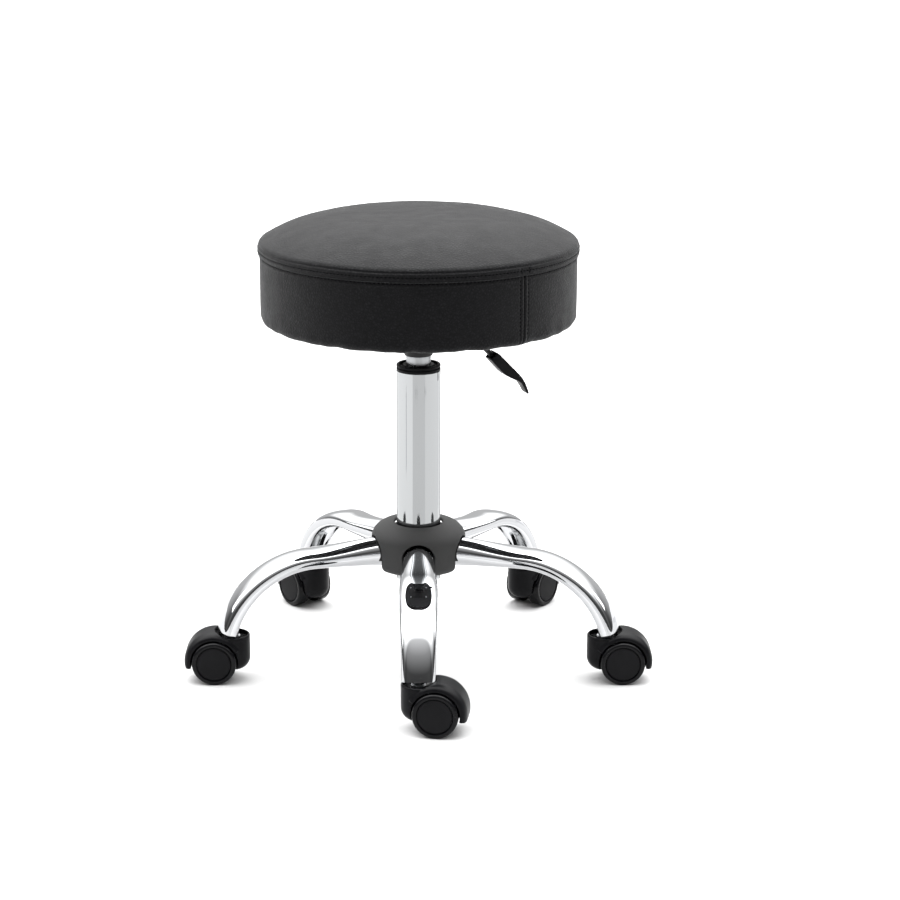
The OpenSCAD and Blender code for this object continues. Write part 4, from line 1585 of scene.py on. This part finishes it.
@dataclass
class Studio:
    """Pale floor, a graded room, two soft boxes, reflection-only floor cards and the camera."""

    camera_at: tuple[float, float, float] = (0.0, -2.508, 0.9506)
    camera_tilt: float = 74.377
    lens: float = 92.08
    shift: float = 0.035
    floor_size: float = 80.0
    flags: tuple[tuple[float, float, float, float, str], ...] = (
        (0, 180.0, 0.3, 5.0, "#a4a4a4"),
        (70, 50.0, 0.5, 4.0, "#9a9a9a"),
        (2, 32.0, 0.5, 4.0, "#8e8e8e"),
        (-150, 3.5, 0.5, 4.0, "#2a2a2c"),
        (150, 5.0, 0.5, 4.0, "#2a2a2c"),
        (122, 3.0, 0.6, 2.6, "#8c8c8e"),
        (-66, 1.5, 0.8, 1.3, "#6c6c6e"),
        (-12, 7.0, 1.272, 1.282, "#101011"),
        (35, 6.0, 1.28, 1.29, "#101011"),
    )
    by_height: tuple[Point, ...] = ((0.0, 0.6), (0.28, 0.72), (0.6, 3.2), (0.85, 7.0), (1.0, 7.6))
    by_depth: tuple[Point, ...] = ((0.0, 0.1), (0.22, 0.15), (0.34, 0.85), (0.5, 1.0), (1.0, 1.0))
    by_side: tuple[Point, ...] = (
        (0.0, 0.1),
        (0.08, 0.5),
        (0.2, 1.0),
        (0.8, 1.0),
        (0.92, 0.5),
        (1.0, 0.1),
    )
    brightest: float = 8.0

    def build_floor(self) -> None:
        """Lay the floor."""
        bm = bmesh.new()
        bmesh.ops.create_grid(bm, x_segments=1, y_segments=1, size=self.floor_size / 2)
        mesh = bpy.data.meshes.new("studio_floor")
        bm.to_mesh(mesh)
        bm.free()
        floor = bpy.data.objects.new("studio_floor", mesh)
        bpy.context.scene.collection.objects.link(floor)
        paper = Mottled(
            "pale_paper", Slot.CHROME, "#c3c3c3", 0.95, second="#c1c1c1", lump_mm=300, depth_mm=0.0
        )
        mesh.materials.append(paper.material())

    def build_flags(self) -> None:
        """Lay grey cards on the floor, which show only in reflections."""
        for k, (turn, spread, near, far, tone) in enumerate(self.flags):
            bm = bmesh.new()
            start, height = math.radians(turn - spread - 90), 0.001 + 0.0005 * k
            ends = [(r * math.cos(start), r * math.sin(start), height) for r in (near, far)]
            bmesh.ops.spin(
                bm,
                geom=loop_of(bm, ends, False),
                cent=(0, 0, 0),
                axis=(0, 0, 1),
                angle=math.radians(2 * spread),
                steps=max(2, round(spread / 2)),
                use_merge=False,
            )
            mesh = bpy.data.meshes.new(f"flag_{k}")
            bm.to_mesh(mesh)
            bm.free()
            mesh.materials.append(Finish(f"flag_{tone[1:]}", Slot.CHROME, tone, 0.9).material())
            card = bpy.data.objects.new(f"flag_{k}", mesh)
            bpy.context.scene.collection.objects.link(card)
            card.visible_camera = False
            card.visible_diffuse = False
            card.visible_shadow = False

    def build_world(self) -> None:
        """Fill the room with soft light: bright overhead, dim towards the front and the sides."""
        world = bpy.data.worlds.new("soft_room")
        bpy.context.scene.world = world
        world.use_nodes = True
        tree = world.node_tree
        tree.nodes.clear()
        way = add_node(tree, "TexCoord").outputs["Generated"]
        parts = add_node(tree, "SeparateXYZ", {"Vector": way})
        rise = self._ramp(tree, parts.outputs["Z"], 0, 1, self.by_height)
        back = self._ramp(tree, parts.outputs["Y"], -1, 1, self.by_depth)
        aside = self._ramp(tree, parts.outputs["X"], -1, 1, self.by_side)
        both = add_node(tree, "Math", {0: rise, 1: back}, operation="MULTIPLY").outputs["Value"]
        total = add_node(tree, "Math", {0: both, 1: aside}, operation="MULTIPLY").outputs["Value"]
        glow = add_node(tree, "Background", {"Color": linear("#ffffff"), "Strength": total})
        plain = add_node(tree, "Background", {"Color": linear("#ffffff"), "Strength": 1.0})
        seen = add_node(tree, "LightPath").outputs["Is Camera Ray"]
        mixed = add_node(
            tree,
            "MixShader",
            {0: seen, 1: glow.outputs["Background"], 2: plain.outputs["Background"]},
        )
        add_node(tree, "OutputWorld", {"Surface": mixed.outputs["Shader"]})

    def _ramp(
        self,
        tree: bpy.types.NodeTree,
        value: Socket,
        low: float,
        high: float,
        stops: Sequence[Point],
    ) -> Socket:
        """Map a value through brightness stops.

        Args:
            tree: node tree.
            value: what drives the ramp.
            low, high: the value's range.
            stops: (share of the range, brightness up to the brightest).

        Returns:
            The brightness's socket.
        """
        share = add_node(tree, "MapRange", {"Value": value, "From Min": low, "From Max": high})
        made = add_node(tree, "ValToRGB", {"Fac": share.outputs["Result"]})
        ramp = made.color_ramp
        while len(ramp.elements) < len(stops):
            ramp.elements.new(0.5)
        for element, (at, grey) in zip(ramp.elements, stops):
            element.position = at
            element.color = (*(grey / self.brightest,) * 3, 1)
        scaled = add_node(
            tree, "Math", {0: made.outputs["Color"], 1: self.brightest}, operation="MULTIPLY"
        )
        return scaled.outputs["Value"]

    def build_light(
        self, name: str, at: Sequence[float], size: Sequence[float], power: float
    ) -> None:
        """Hang a soft box that faces the stool.

        Args:
            name: its name.
            at: place in metres.
            size: width and height in metres.
            power: watts.
        """
        data = bpy.data.lights.new(name, "AREA")
        data.shape = "RECTANGLE"
        data.size, data.size_y = size
        data.energy = power
        lamp = bpy.data.objects.new(name, data)
        bpy.context.scene.collection.objects.link(lamp)
        aim = Vector((0, 0, 0.3)) - Vector(at)
        lamp.matrix_world = Matrix.Translation(at) @ aim.to_track_quat("-Z", "Y").to_matrix().to_4x4()

    def build_camera(self) -> None:
        """Set the camera."""
        data = bpy.data.cameras.new("camera")
        data.lens = self.lens
        data.sensor_width = 36.0
        data.shift_x = self.shift
        data.clip_end = 200
        camera = bpy.data.objects.new("camera", data)
        camera.location = self.camera_at
        camera.rotation_euler = (math.radians(self.camera_tilt), 0, 0)
        bpy.context.scene.collection.objects.link(camera)
        bpy.context.scene.camera = camera

    def build(self) -> None:
        """Build the studio."""
        self.build_floor()
        self.build_flags()
        self.build_world()
        self.build_light("soft_box_left", (-2.4, 0.2, 1.7), (1.2, 2.0), 22)
        self.build_light("soft_box_right", (2.4, 0.5, 1.6), (0.8, 1.8), 13)
        self.build_camera()
        view = bpy.context.scene.view_settings
        view.view_transform = "Standard"
        view.look = "None"


def main() -> None:
    """Build the stool's looks in order."""
    logging.basicConfig(level=logging.INFO, format="%(name)s: %(message)s", stream=sys.stdout)
    Studio().build()
    SeatCushion().build()
    SeatUnderside().build()
    GasLift().build()
    LeverArm().build()
    HubCover().build()
    StarLegs().build()
    for number in range(1, 6):
        Caster(number).build()
    bpy.context.view_layer.update()


if __name__ == "__main__":
    main()
